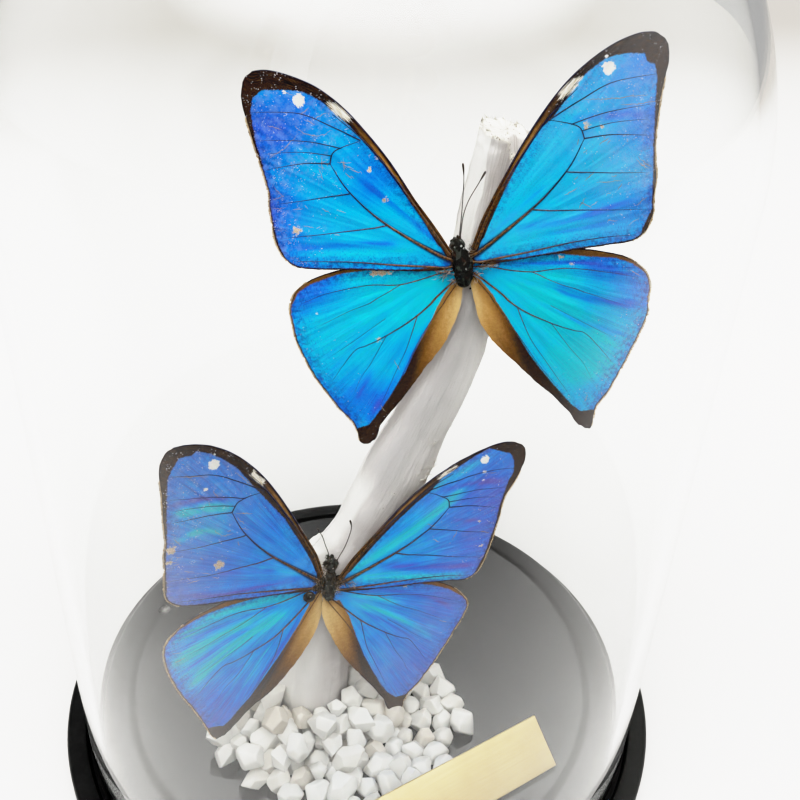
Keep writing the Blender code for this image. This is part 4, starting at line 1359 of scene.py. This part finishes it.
def wingFields(name, own, shared, kind):
    # the painted fields of one wing; own holds its own flat places
    facts = wings[name]
    seed = float(sorted(wings).index(name) * 40)  # each wing reads its own part of the noise
    reach = np.linalg.norm(own, axis=1)
    angle = np.arctan2(own[:, 1], own[:, 0])
    rim, front = shared["rim"], shared["front"]
    hue = np.full(len(own), facts["hue"]) + 0.10 * ease(reach, 8.0, 34.0)
    for x, y, radius, change in facts["wash"]:
        hue += change * np.exp(-(gapTo(own, x, y) / radius) ** 2)
    frayed = softNoise(deep(np.stack([reach * 0.12, angle * 45.0], 1)), 1.0, 81)
    for line, width, change in facts["streaks"]:
        gap, along = lineDistance(own, smoothLine(line, 0.6))
        taper = ease(along, 0.0, 0.15) * ease(-along, -1.0, -0.85)
        strength = (0.25 + 0.75 * taper) * (0.75 + 0.6 * frayed)
        hue += change * np.exp(-(gap / width) ** 2) * strength
    hue += 0.16 * ease(-rim, -1.6, -0.2)
    # the blue patch, with a round of blue at the hinge
    x, y, size = (1.9, 0.1, 2.2) if kind == "fore" else (1.2, -1.5, 1.7)
    blue = np.maximum(depthIn(own, np.array(facts["blue"])), size - gapTo(own, x, y))
    blue = np.minimum(blue, rim - 0.32)
    pale = np.max([np.full(len(own), noPatch),
                   *(depthIn(own, np.array(loop)) for loop in facts["pale"])], axis=0)
    border, near = rim.copy(), np.zeros(len(own))
    if kind == "fore":
        blue -= 1.4 * ease(-front, -1.4, -0.8) * ease(-reach, -8.0, -5.0)
        near = ease(-front, -2.2, -1.4)
        band = np.exp(-((front - 0.62) / 0.36) ** 2)
        tan = 0.62 * band * ease(-shared["frontAlong"], -0.72, -0.4)
        tan = np.maximum(tan, 0.09) + 0.06 * ease(front, 1.2, 2.4)
    else:
        # the pale fold along the body, and the dark tail
        fold = own[:, 1] < -1.5 - 1.15 * own[:, 0]
        down = ease(reach, 4.0, 27.0)
        lip = ease(-rim, -1.6, -0.1)
        foldTan = facts["fold"] - 0.74 * down + 0.16 * lip * (1.0 - down)
        foldTan = foldTan - 0.3 * ease(blue, -2.6, -0.2)
        tan = np.where(fold, np.maximum(foldTan, 0.12), 0.4)
        tan = np.where(reach > 31.5, np.minimum(tan, 0.14), tan)
        border += fold * ease(-reach, -26.0, -20.0)
    return {
        "chart": deep(own, seed), "fan": deep(np.stack([reach, angle * 30.0], 1), seed),
        "lane": deep(np.stack([front, shared["frontAlong"] * 45.0], 1), seed),
        "near": near, "border": border, "blue": blue, "hue": hue, "tan": tan, "pale": pale,
        "spot": spotDepth(own, facts["spots"]), "worn": spotDepth(own, facts["worn"]),
        "rim": rim, "hem": shared["hem"], "vein": shared["vein"], "reach": reach,
        "dust": facts["dust"] * ease(reach, 16.0, 33.0),
        # painted light: a milky haze, more towards the margin
        "bloom": facts["bloom"] * (2.1 * facts["bloom"] + 0.7 * ease(reach, 14.0, 28.0)),
        "streaky": facts["streaky"] * (0.3 + 0.7 * ease(reach, 4.0, 14.0)),
    }


def paintWing(g):
    chart, fan = g.field("chart", "Vector"), g.field("fan", "Vector")
    rim, vein, streaky, dust = (g.field(name) for name in ("rim", "vein", "streaky", "dust"))
    # grains along the rays that run out from the hinge
    fine = g.grain(chart, 8.0, 3.0, 0.7)
    streak = g.grain(g.stretch(fan, (0.16, 3.2, 1.0)), 1.0, 5.0, 0.62)
    line = g.grain(g.stretch(fan, (0.07, 6.5, 1.0)), 1.0, 2.0, 0.5)
    hair = g.grain(g.stretch(fan, (0.6, 11.0, 1.0)), 1.0, 2.0, 0.5)
    wash = g.grain(g.stretch(fan, (0.1, 0.9, 1.0)), 1.0, 3.0, 0.5)
    rows = g.grain(g.stretch(fan, (4.4, 1.4, 1.0)), 1.0, 2.0, 0.7)

    hue = g.field("hue") + (streak - 0.5) * streaky * 1.3
    hue = hue + (g.grain(chart, 0.3, 2.0, 0.5) - 0.5) * 0.22
    hue = hue + (wash - 0.5) * (0.08 + streaky * 0.6) + (fine - 0.5) * 0.14
    blue = g.ramp(hue, [
        (0.0, tone(0, 216, 234)), (0.16, tone(0, 200, 250)), (0.33, tone(0, 174, 254)),
        (0.5, tone(14, 138, 248)), (0.68, tone(46, 110, 232)), (0.85, tone(84, 94, 216)),
        (1.0, tone(102, 82, 192)),
    ])
    outer = g.fade(rim, 6.0, 0.8)
    patch = g.fade(rim, 3.6, 0.5) * g.fade(g.grain(chart, 1.1, 4.0, 0.7), 0.42, 0.62)
    mark = g.fade(g.grain(g.stretch(fan, (0.7, 2.4, 1.0)), 1.3, 4.0, 0.8), 0.64, 0.72)
    haze = g.fade(g.grain(chart, 0.7, 4.0, 0.7) + dust * 0.2, 0.6, 0.8)
    for share, shade in (
        (g.fade(line, 0.53, 0.66) * (streaky * 0.8 + 0.08), tone(40, 48, 160)),
        (g.fade(line, 0.43, 0.33) * streaky * 0.4, tone(90, 214, 250)),
        (g.fade(rows, 0.52, 0.66) * (0.22 + outer * 0.4), tone(14, 70, 196)),
        (g.fade(rows, 0.45, 0.3) * (0.1 + outer * 0.2), tone(70, 190, 255)),
        (g.fade(vein, 0.1, 0.9) * 0.45, tone(10, 60, 160)),
        (patch * 0.75, tone(26, 58, 164)),
        (mark * 0.5, tone(10, 74, 190)),
        (haze * dust * 0.45, tone(140, 172, 240)),
    ):
        blue = g.blend(share, blue, shade)
    # painted light: a milky haze over the colour, in islands, greyer on the streaky wings
    isle = g.fade(g.grain(chart, 0.2, 4.0, 0.6), 0.42, 0.56)
    grey = g.fade(streaky, 0.2, 0.4)
    bloom = g.field("bloom") * (0.8 + isle * (0.6 - grey * 0.4))
    blue = g.blend(bloom, blue, g.blend(grey, tone(150, 196, 244), tone(150, 166, 192)))

    strand = g.grain(g.stretch(g.field("lane", "Vector"), (8.0, 0.35, 1.0)), 1.0, 3.0, 0.7)
    shade = g.field("tan") + (hair - 0.5) * 0.3 + (fine - 0.5) * 0.5
    shade = shade + (strand - 0.5) * g.field("near") * 1.1
    shade = shade + (g.grain(chart, 1.6, 4.0, 0.7) - 0.5) * 0.3
    brown = g.ramp(shade, [
        (0.0, tone(26, 17, 12)), (0.15, tone(58, 39, 24)), (0.4, tone(122, 82, 30)),
        (0.7, tone(182, 140, 76)), (1.0, tone(226, 194, 136)),
    ])
    # the painted haze of light lies over the brown as well
    brown = g.blend(g.field("bloom") * 0.3, brown, tone(150, 140, 130))
    rough = (fine - 0.5) * 0.5 + (hair - 0.5) * 0.25
    edge = g.field("blue") + rough * 0.7 + (rows - 0.5) * 0.6
    colour = g.blend(g.fade(edge, -0.12, 0.1), brown, blue)

    middle = g.grain(chart, 1.5, 3.0, 0.6)
    pale = g.field("pale") + (strand - 0.5) * 3.0 + (fine - 0.5) * 0.5
    spot = g.field("spot") + (middle - 0.5) * 1.5 + (fine - 0.5) * 0.6
    worn = g.field("worn") + (middle - 0.5) * 2.2 + (fine - 0.5)
    cream = g.blend(g.fade(hair, 0.4, 0.5), tone(214, 196, 158), tone(250, 246, 236))
    bare = g.blend(g.fade(fine, 0.4, 0.6), tone(176, 144, 104), tone(236, 228, 212))
    specks = g.fade(g.cells(g.stretch(chart, (1.0, 1.7, 1.0)), 2.4), 0.28, 0.16)
    specks = specks * g.fade(g.grain(chart, 0.55, 3.0, 0.7) + dust * 0.2, 0.66, 0.76)
    for share, shade in (
        (g.fade(vein, 0.45, 0.95) * 0.8, tone(44, 31, 18)),
        # the dark line inside the margin, then the pale hem
        (g.fade(g.field("border") + rough * 0.2, 0.26, 0.14), tone(44, 29, 21)),
        (g.fade(g.field("hem") + rough * 0.15, 0.13, 0.05), tone(196, 168, 126)),
        (g.fade(pale, -0.05, 0.15), cream),
        (g.fade(spot, -0.05, 0.08), tone(248, 246, 240)),
        (g.fade(worn, -0.05, 0.1), bare),
        # bare specks where scales have come off
        (specks * g.fade(dust, 0.0, 0.2), tone(232, 232, 242)),
    ):
        colour = g.blend(share, colour, shade)

    height = fine * 0.6 + hair * 0.4 + line * streaky
    return {
        "Base Color": colour,
        "Metallic": g.fade(g.field("blue"), 0.0, 0.3) * 0.22,
        "Roughness": 0.4 + fine * 0.2,
        "Normal": g.bump(height, 0.35, 0.00015),
        "Specular IOR Level": 0.3,
        "Specular Tint": (0.5, 0.68, 1.0, 1.0),
    }


def paintUnderside(g):
    chart, fan = g.field("chart", "Vector"), g.field("fan", "Vector")
    fine = g.grain(chart, 6.0, 3.0, 0.7)
    reach = g.field("reach") + (g.grain(chart, 0.35, 3.0) - 0.5) * 7.0
    broad = g.grain(g.stretch(fan, (0.12, 0.5, 1.0)), 1.0, 3.0)
    colour = g.blend(g.fade(fine, 0.3, 0.7), tone(88, 64, 44), tone(118, 90, 62))
    colour = g.blend(g.fade(broad, 0.35, 0.65) * 0.5, colour, tone(136, 110, 80))
    for place, share in ((13.0, 0.4), (22.0, 0.65), (31.0, 0.5)):
        line = g.fade(reach, place - 1.0, place) * g.fade(reach, place + 1.3, place + 0.6)
        shade = g.fade(reach, place + 0.6, place + 1.2) * g.fade(reach, place + 3.4, place + 1.8)
        colour = g.blend(line * share, colour, tone(182, 160, 124))
        colour = g.blend(shade * share, colour, tone(60, 42, 30))
    # a few eye spots: a yellow ring, a black disc, a white dot
    eye = g.cells(g.stretch(chart, (1.0, 1.0, 0.0)), 0.13)
    some = g.fade(g.field("reach"), 12.0, 18.0) * g.fade(g.field("rim"), 2.4, 4.0)
    for low, high, shade in ((0.24, 0.2, tone(196, 168, 110)), (0.17, 0.14, tone(24, 18, 16)),
                             (0.06, 0.04, tone(232, 228, 220))):
        colour = g.blend(g.fade(eye, low, high) * some, colour, shade)
    colour = g.blend(g.fade(g.field("vein"), 0.5, 0.9), colour, tone(62, 42, 28))
    return {
        "Base Color": colour,
        "Roughness": 0.6 + fine * 0.2,
        "Normal": g.bump(fine, 0.3, 0.0001),
    }


def paintVein(g):
    grain = g.grain(g.place(), 2.5, 3.0)
    near = g.blend(g.fade(grain, 0.34, 0.7), tone(34, 21, 10), tone(126, 82, 28))
    far = g.blend(g.fade(grain, 0.35, 0.65), tone(8, 24, 66), tone(40, 40, 66))
    return {
        "Base Color": g.blend(g.fade(g.field("reach"), 9.0, 19.0), near, far),
        "Roughness": 0.45,
    }


fringeTones = [(0.0, tone(96, 74, 52)), (0.4, tone(164, 136, 98)), (1.0, tone(222, 204, 170))]
flakeTones = [(0.0, tone(168, 150, 120)), (0.3, tone(206, 200, 196)), (1.0, tone(232, 232, 240))]

finishes = {
    "wing": newMaterial("blueScales", paintWing),
    "under": newMaterial("brownUnderside", paintUnderside),
    "vein": newMaterial("veinBrown", paintVein),
    "fringe": newMaterial("fringeScales", shadePainter(fringeTones, 0.7, 0.1)),
    "flake": newMaterial("bareFlecks", shadePainter(flakeTones, 0.5, 0.2)),
}

flakeShapes = shapeSet("flakeShape", [
    ([(-0.5, -0.3, 0.0), (0.4, -0.4, 0.0), (0.5, 0.3, 0.1), (-0.3, 0.45, 0.0)], [(0, 1, 2, 3)]),
    ([(-0.9, -0.1, 0.0), (0.9, -0.15, 0.05), (0.7, 0.12, 0.0), (-0.6, 0.15, 0.0)], [(0, 1, 2, 3)]),
    ([(-0.4, -0.4, 0.0), (0.5, -0.1, 0.0), (0.0, 0.5, 0.1)], [(0, 1, 2)]),
])

scaleShapes = shapeSet("scaleShape", [
    ([(-0.22, 0.0, 0.0), (0.22, 0.0, 0.0), (0.2, 0.0, 0.8), (0.0, 0.03, 1.0), (-0.2, 0.0, 0.75)],
     [(0, 1, 2, 3, 4)]),
    ([(-0.12, 0.0, 0.0), (0.12, 0.0, 0.0), (0.03, 0.06, 1.1)], [(0, 1, 2)]),
])


def wingSheet(name, side, faces, upper, lower, matrix, fields):
    # a thin closed sheet: blue on top, brown below, the rim joined
    count = len(upper)
    rim = rimEdges(faces)
    under = faces[:, ::-1] + count
    strip = np.stack([rim[:, 1], rim[:, 0], rim[:, 0] + count, rim[:, 1] + count], 1)
    everything = faces.tolist() + under.tolist() + strip.tolist()
    if side == "left":
        everything = [face[::-1] for face in everything]
    spots = moved(np.concatenate([upper, lower]), matrix)
    doubled = {label: np.concatenate([value, value]) for label, value in fields.items()}
    piece = newPiece(name + "_scaled", spots, everything,
                     [finishes["wing"], finishes["under"]], doubled)
    marks = np.ones(len(everything), np.int32)
    marks[:len(faces)] = 0
    piece.data.polygons.foreach_set("material_index", marks)
    piece.data.set_sharp_from_angle(angle=math.radians(50.0))
    kept(piece, "wing_blue", name)


def wingFringe(name, margin, matrix, pick):
    # small scales along the outer margin
    way = unit(np.gradient(margin, axis=0))
    outward = np.stack([-way[:, 1], way[:, 0]], 1) + 0.35 * pick.normal(size=margin.shape)
    keep = softNoise(deep(margin, len(name)), 1.1, 71) > -0.55
    margin, outward, way = margin[keep], outward[keep], way[keep]
    lift = wingRelief(margin) + pick.uniform(-0.04, 0.04, len(margin))
    spots = moved(np.column_stack([margin - 0.05 * outward, lift]), matrix)
    turn = np.array(matrix)[:3, :3]
    sizes = pick.uniform(*wingLook["fringeSizes"], len(margin))
    fringe = plantedPiece(name + "_fringe", spots, deep(outward) @ turn.T, deep(way) @ turn.T,
                          sizes, scaleShapes, finishes["fringe"], 3)
    kept(fringe, "wing_blue")


def scratchLines(name, kind, pick):
    # the wing's own scratches, and short random ones in its outer part
    s = wingLook
    lines = list(wings[name]["scratches"])
    for _ in range(int(s["scratches"] * wings[name]["dust"] ** 2)):
        reach, angle = pick.uniform(*s["scratchReach"]), pick.uniform(*s["scratchAngle"])
        start = np.array([math.cos(angle), math.sin(angle)]) * reach
        if kind == "fore" and insideOf(start[None], np.array(wings[name]["blue"]))[0]:
            angle += pick.uniform(-0.9, 0.9)
            length = pick.uniform(*s["scratchLength"])
            lines.append((start, start - length * np.array([math.cos(angle), math.sin(angle)])))
    return lines


def buildWing(name, facts, side, kind, shape, grid, shared):
    points, faces = grid
    s = wingLook
    matrix = wingMatrix(facts, side, kind)
    half = s["halfThickness"]

    def bent(line):
        # from the common shape to this wing's own
        return edgeShift(line, shape, wings[name]["edge"])

    def laid(line, lift=0.0):
        # flat places set on the wing's surface
        return moved(np.column_stack([line, wingRelief(line) + lift]), matrix)

    ragged = ease(-shared["rim"], -0.5, 0.0) * deepNoise(deep(points, len(name)), 0.8, 61, 2)
    own = bent(points)
    toward = unit(own - np.array([14.0, 10.0 if kind == "fore" else -12.0]))
    frayed = 0.09 + 0.26 * ease(-points[:, 1], 29.0, 32.5)
    own = own + toward * (frayed * ragged)[:, None]
    fields = wingFields(name, own, shared, kind)
    height = wingRelief(own) - 0.05 * np.minimum(shared["vein"], 1.0)
    upper = np.column_stack([own, height + half])
    lower = np.column_stack([own, height - half])
    wingSheet(name, side, faces, upper, lower, matrix, fields)

    lines = [(laid(bent(line), 0.25 * radii), radii) for line, radii in veinLines(shape, kind)]
    first, last = shape["front"]
    front = smoothLine(shape["outline"][first:last], 0.5)
    radii = np.interp(np.linspace(0, 1, len(front)), [0.0, 0.5, 1.0], [0.17, 0.12, 0.07])
    lines.append((laid(bent(front)), radii * s["frontWidth"][kind]))
    veins = tubesPiece(name + "_veins", lines, finishes["vein"])
    reach = np.linalg.norm(vertexRows(veins.data) / mm - np.array(matrix.translation), axis=1)
    giveFields(veins.data, {"reach": reach})
    kept(veins, "wing_blue")

    pick = np.random.default_rng(len(name) * 7 + (side == "left"))
    first, last = shape["margin"]
    margin = bent(smoothLine(shape["outline"][first:last + 1], s["fringeStep"]))
    wingFringe(name, margin, matrix, pick)

    flecks = []
    for line in scratchLines(name, kind, pick):
        run = smoothLine(line, 0.3)
        run = run + 0.06 * pick.normal(size=run.shape)
        share = np.sin(np.linspace(0.1, math.pi - 0.1, len(run)))
        radii = s["scratchRadius"] * share * pick.uniform(0.4, 1.2, len(run)) + 0.012
        flecks.append((laid(run, half), radii))
    if flecks:
        kept(tubesPiece(name + "_scratches", flecks, finishes["flake"], 4), "wing_blue")

    # loose scales over the blue, thicker where the wing is dusty
    normal = np.array(matrix)[:3, :3] @ np.array([0.0, 0.0, 1.0])
    cover = (fields["dust"] * ease(fields["blue"], 0.1, 0.6)
             * ease(softNoise(deep(own), 2.6, 91), -0.1, 0.5))
    top = newPiece("carrier", moved(upper + (0.0, 0.0, 0.012), matrix),
                   faces[:, ::-1] if side == "left" else faces, (),
                   {"cover": cover, "comb": np.tile(normal, (len(own), 1))})
    inputs = {"Shapes": flakeShapes, "Seed": len(name), "Finish": finishes["flake"], **s["flecks"]}
    kept(grown(name + "_flecks", top, overSurface, inputs), "wing_blue")


def buildWings():
    for kind, label in (("fore", "forewing"), ("hind", "hindwing")):
        shape = wingLook[kind]
        grid = wingGrid(shape)
        shared = sharedFields(grid[0], shape, kind)
        print(label, "grid:", len(grid[0]), "points,", len(grid[1]), "faces a side")
        for who, facts in butterflies.items():
            for side in ("left", "right"):
                buildWing(f"{who}_{label}_{side}", facts, side, kind, shape, grid, shared)


buildWings()
print("wings drawn")


# Bodies and antennae

bodyLook = {
    "segment": 0.85, "antenna": 0.09, "club": 0.2,
    "hair": {"Lie": 0.66, "Seed": 5}, "tuftSizes": (0.4, 1.2),
}


def bodyPainter(pale):
    def paintBody(g):
        spot = g.place()
        fur = g.grain(g.stretch(spot, (2.6, 2.6, 1.0)), 2.0, 5.0, 0.7)
        patch = g.grain(spot, 0.7, 2.0)
        colour = g.blend(g.fade(fur, 0.4, 0.8), tone(4, 4, 3), tone(22, 21, 16))
        colour = g.blend(g.fade(patch, 0.5, 0.7) * 0.6, colour, tone(62, 40, 28))
        # painted sheen: grey-green patches stand for glossy reflections, and small bright dots are painted
        # highlights
        sheenPlates = g.fade(g.grain(spot, 1.1, 1.0), 0.56, 0.6)
        colour = g.blend(sheenPlates * 0.35, colour, tone(96, 104, 96))
        glint = g.fade(g.cells(spot, 1.2), 0.3, 0.16) * g.fade(g.grain(spot, 0.8, 2.0), 0.5, 0.58)
        colour = g.blend(glint * 0.9, colour, tone(214, 214, 206))
        return {
            "Base Color": g.blend(pale * 0.4, colour, tone(104, 99, 90)),
            "Roughness": 0.2 + fur * 0.3,
            "Specular IOR Level": 0.14,
            "Normal": g.bump(fur, 1.0, 0.0004),
        }
    return paintBody


def hairPainter(pale):
    stops = [(0.0, tone(13, 12, 11)), (0.9 - pale, tone(34, 28, 22)),
             (0.97 - 0.4 * pale, tone(96, 74, 48)), (1.0, tone(168, 148, 116))]
    return shadePainter(stops, 0.5, 0.1, 0.08)


def paintAntenna(g):
    rings = g.grain(g.place(), 3.0, 2.0)
    return {
        "Base Color": g.blend(g.fade(rings, 0.3, 0.7), tone(24, 18, 16), tone(62, 44, 32)),
        "Roughness": 0.4,
    }


def blob(centre, radii, seed):
    # a closed egg with a slightly uneven skin
    profile = [(math.sin(a), math.cos(a)) for a in np.linspace(0.0, math.pi, 15)]
    profile[0], profile[-1] = (0.0, 1.0), (0.0, -1.0)
    points, faces = turned(profile, 20)
    points = points * (1.0 + 0.06 * deepNoise(points, 0.5, seed)[:, None])
    return points * np.array(radii) + np.array(centre), faces


def buildBody(who, facts, materials):
    s = bodyLook
    table = smoothLine(facts["spine"], 0.12)
    rings = 1.0 + 0.04 * np.cos(2.0 * math.pi * table[:, 1] / s["segment"]) * (table[:, 1] < -1.5)
    points, faces = loft(table[:, :3], table[:, 3] * rings, 40)
    push = 0.13 * deepNoise(points, 0.7, 5) + 0.06 * deepNoise(points, 1.6, 7)
    middle = [np.interp(points[:, 1], table[:, 1], table[:, axis]) for axis in (0, 1, 2)]
    out = points - np.stack(middle, 1)
    out /= np.maximum(np.linalg.norm(out, axis=1), 0.2)[:, None]
    parts = [(points + out * push[:, None], faces)]
    parts += [blob(*lump, 3 + number) for number, lump in enumerate(facts["lumps"])]
    points, faces = joined(parts)
    turn = bodyMatrix(facts) @ Matrix.Rotation(math.radians(facts["bodyTurn"]), 4, "Z")
    spots = moved(np.array(points), turn)
    body = newPiece(who + "_body_form", spots, faces, [materials[who + "Body"]])

    # hair lies back along the body, thickest on the chest and at the wing roots
    shape = np.array(points)
    chest = ease(shape[:, 1], -2.5, -0.5) * ease(-shape[:, 1], -3.4, -2.4)
    side = ease(np.abs(shape[:, 0] - table[:, 0].mean()), 0.9, 1.5)
    head = ease(shape[:, 1], table[-1, 1] - 0.9, table[-1, 1] - 0.2)
    cover = 0.25 + 0.3 * chest + 0.7 * chest * side + 0.5 * head
    comb = np.array(turn)[:3, :3] @ np.array([0.0, -1.0, 0.15])
    carrier = newPiece("carrier", spots, faces, (),
                       {"cover": cover, "comb": np.tile(comb, (len(spots), 1))})
    inputs = {"Shapes": hairShapes, "Finish": materials[who], **s["hair"], **facts["coat"]}
    hair = grown(who + "_body_hair", carrier, overSurface, inputs)
    kept(body, "body_black", who + "_body")
    kept(hair, "body_black")

    # loose fluff about the wing roots
    base = bodyMatrix(facts)
    turn = np.array(base)[:3, :3]
    pick = np.random.default_rng(len(facts["tufts"]))
    spots, aims = [], []
    for x, y, wide, tall, count in facts["tufts"]:
        spots.append(pick.normal(size=(count, 3)) * (wide, tall, 0.15) + (x, y, 0.7))
        aim = (math.copysign(0.9, x), -0.15, 0.25)
        aims.append(pick.normal(size=(count, 3)) * (0.6, 0.6, 0.3) + aim)
    spots, aims = np.concatenate(spots), np.concatenate(aims)
    sizes = pick.uniform(*s["tuftSizes"], len(spots))
    tufts = plantedPiece(who + "_root_hair", moved(spots, base), aims @ turn.T,
                         pick.normal(size=spots.shape), sizes, hairShapes, materials["tuft"])
    kept(tufts, "body_black")

    for side, stops in facts["antennae"].items():
        line = smoothLine(stops, 0.25)
        share = np.linspace(0.0, 1.0, len(line))
        radii = np.interp(share, [0.0, 0.04, 0.84, 0.93, 0.98, 1.0],
                          [0.16, s["antenna"], s["antenna"], s["club"], 0.2, 0.05])
        name = f"{who}_antenna_{side}"
        piece = tubesPiece(name + "_fine", [(moved(line, base), radii)], materials["antenna"], 10)
        kept(piece, "body_black", name)


hairShapes = shapeSet("hairShape", [
    ([(-0.04, 0.0, 0.0), (0.04, 0.0, 0.0), (0.03, 0.05, 0.5), (-0.03, 0.05, 0.5),
      (0.0, 0.18, 1.0)], [(0, 1, 2, 3), (3, 2, 4)]),
    ([(-0.03, 0.0, 0.0), (0.03, 0.0, 0.0), (0.025, -0.05, 0.6), (-0.025, -0.05, 0.6),
      (0.02, -0.14, 1.1)], [(0, 1, 2, 3), (3, 2, 4)]),
])
tuftTones = [(0.0, tone(30, 22, 18)), (0.4, tone(84, 64, 46)), (0.7, tone(150, 132, 112)),
             (1.0, tone(226, 212, 198))]
bodyFinishes = {"tuft": newMaterial("rootFluff", shadePainter(tuftTones, 0.55, 0.1, 0.2)),
                "antenna": newMaterial("antennaBrown", paintAntenna)}
for who, facts in butterflies.items():
    bodyFinishes[who] = newMaterial(who + "Hair", hairPainter(facts["fluff"]))
    bodyFinishes[who + "Body"] = newMaterial(who + "Body", bodyPainter(facts["fluff"]))
for who, facts in butterflies.items():
    buildBody(who, facts, bodyFinishes)
print("bodies and antennae made")


# Floor, light and camera

roomLook = {
    "floorSize": 8.0,
    "toneTop": 2.4,
    "tones": ((0.0, 0.0), (0.018, 0.002), (0.06, 0.036), (0.15, 0.135), (0.32, 0.345),
              (0.55, 0.62), (0.78, 0.82), (1.0, 0.9), (1.4, 0.945), (2.4, 0.985)),
    "lens": 39.37, "cameraPlace": (6.2, -154.1, 175.64), "cameraTurn": (59.34, -0.07, 2.67),
    "bounces": {"max": 16, "transmission": 16, "diffuse": 4, "glossy": 6},
    # light from below and from above, and what the front and the back add to it or take away
    "low": 1.0, "lowFront": 0.84, "lowBack": 0.6,
    "top": 4.4, "topFront": 3.0, "topLeft": 1.2, "topBack": 2.98, "crown": 1.35,
    "change": (36.0, 45.0),  # heights in degrees between which one gives way to the other
}


def paintFloorShade(g):
    place = g.place()
    side, back, _ = g.axes(place)
    # painted shade: the floor is dark in front of the dome, on the camera's side, and darker again far
    # behind and to the left
    colour = g.blend(g.fade(back, -200.0, -60.0), tone(62, 61, 61), tone(181, 180, 178))
    far = g.fade(back - side * 0.3, 100.0, 1300.0)
    colour = g.blend(far, colour, tone(121, 118, 114))
    return {
        "Base Color": g.blend(g.grain(place, 0.9) * 0.05, colour, tone(160, 160, 160)),
        "Roughness": 0.85,
    }


def shapeTones(view):
    # a little more contrast below, highlights that roll off above
    view.use_curve_mapping = True
    mapping = view.curve_mapping
    top = roomLook["toneTop"]
    mapping.white_level = (top, top, top)
    curve = mapping.curves[3]
    stops = roomLook["tones"]
    while len(curve.points) < len(stops):
        curve.points.new(0.5, 0.5)
    for point, (given, shown) in zip(curve.points, stops):
        point.location = (given / top, shown)
    mapping.update()


def layFloor():
    half = roomLook["floorSize"] / 2.0 / mm
    corners = [(-half, -half, 0.0), (half, -half, 0.0), (half, half, 0.0), (-half, half, 0.0)]
    floor = newPiece("floor", corners, [(0, 1, 2, 3)], [newMaterial("floorPaintedShade", paintFloorShade)])


def lightRoom(scene):
    s = roomLook
    world = bpy.data.worlds.new("softStudio")
    world.use_nodes = True
    world.node_tree.nodes.clear()
    g = Graph(world.node_tree)
    across, depth, up = g.axes(g.add("ShaderNodeTexCoord", None, None, "Generated"))
    height = g.add("ShaderNodeMath", {"operation": "ARCSINE"}, {0: up}) * 57.3
    flat = (across * across + depth * depth + 0.0001) ** 0.5
    facing = depth / flat  # 1 behind the dome, -1 on the camera's side
    left = g.fade(across / flat, 0.6, -0.6)
    front, back = g.fade(facing, -0.15, -0.6), g.fade(facing, 0.1, 0.6)
    dark = g.fade(facing, 0.84, 0.97) * g.fade(height, 33.0, 16.0)
    low = s["low"] - front * s["lowFront"] - back * (s["lowBack"] + dark * 0.06)
    top = s["top"] + front * (s["topFront"] + left * s["topLeft"]) - back * s["topBack"]
    top = top + back * g.fade(height, 45.0, 56.0) * s["crown"]
    top = top - back * g.fade(facing, 0.985, 0.93) * g.fade(height, 47.5, 43.0)
    start, end = s["change"]
    high = g.fade(height, start - front * 4.0 + back * 1.6, end + front * 5.0 - back * 6.0)
    light = low * (1.0 - high) + top * high
    sockets = {"Color": (1.0, 0.995, 0.985, 1.0), "Strength": light}
    shader = g.add("ShaderNodeBackground", None, sockets)
    g.add("ShaderNodeOutputWorld", None, {"Surface": shader})
    scene.world = world


def setCamera(scene):
    s = roomLook
    camera = bpy.data.cameras.new("camera")
    camera.lens = s["lens"]
    camera.sensor_width = 36.0
    camera.clip_start = 0.01
    camera.clip_end = 50.0
    holder = bpy.data.objects.new("camera", camera)
    scene.collection.objects.link(holder)
    tilt, yaw, roll = [math.radians(angle) for angle in s["cameraTurn"]]
    turn = Matrix.Rotation(yaw, 4, "Z") @ Matrix.Rotation(tilt, 4, "X") @ Matrix.Rotation(roll, 4, "Z")
    holder.matrix_world = Matrix.Translation(Vector(s["cameraPlace"]) * mm) @ turn
    scene.camera = holder
    scene.view_settings.view_transform = "Standard"
    scene.view_settings.look = "None"
    shapeTones(scene.view_settings)
    for kind, count in s["bounces"].items():
        setattr(scene.cycles, kind + "_bounces", count)


layFloor()
lightRoom(bpy.context.scene)
setCamera(bpy.context.scene)
print("room lit")
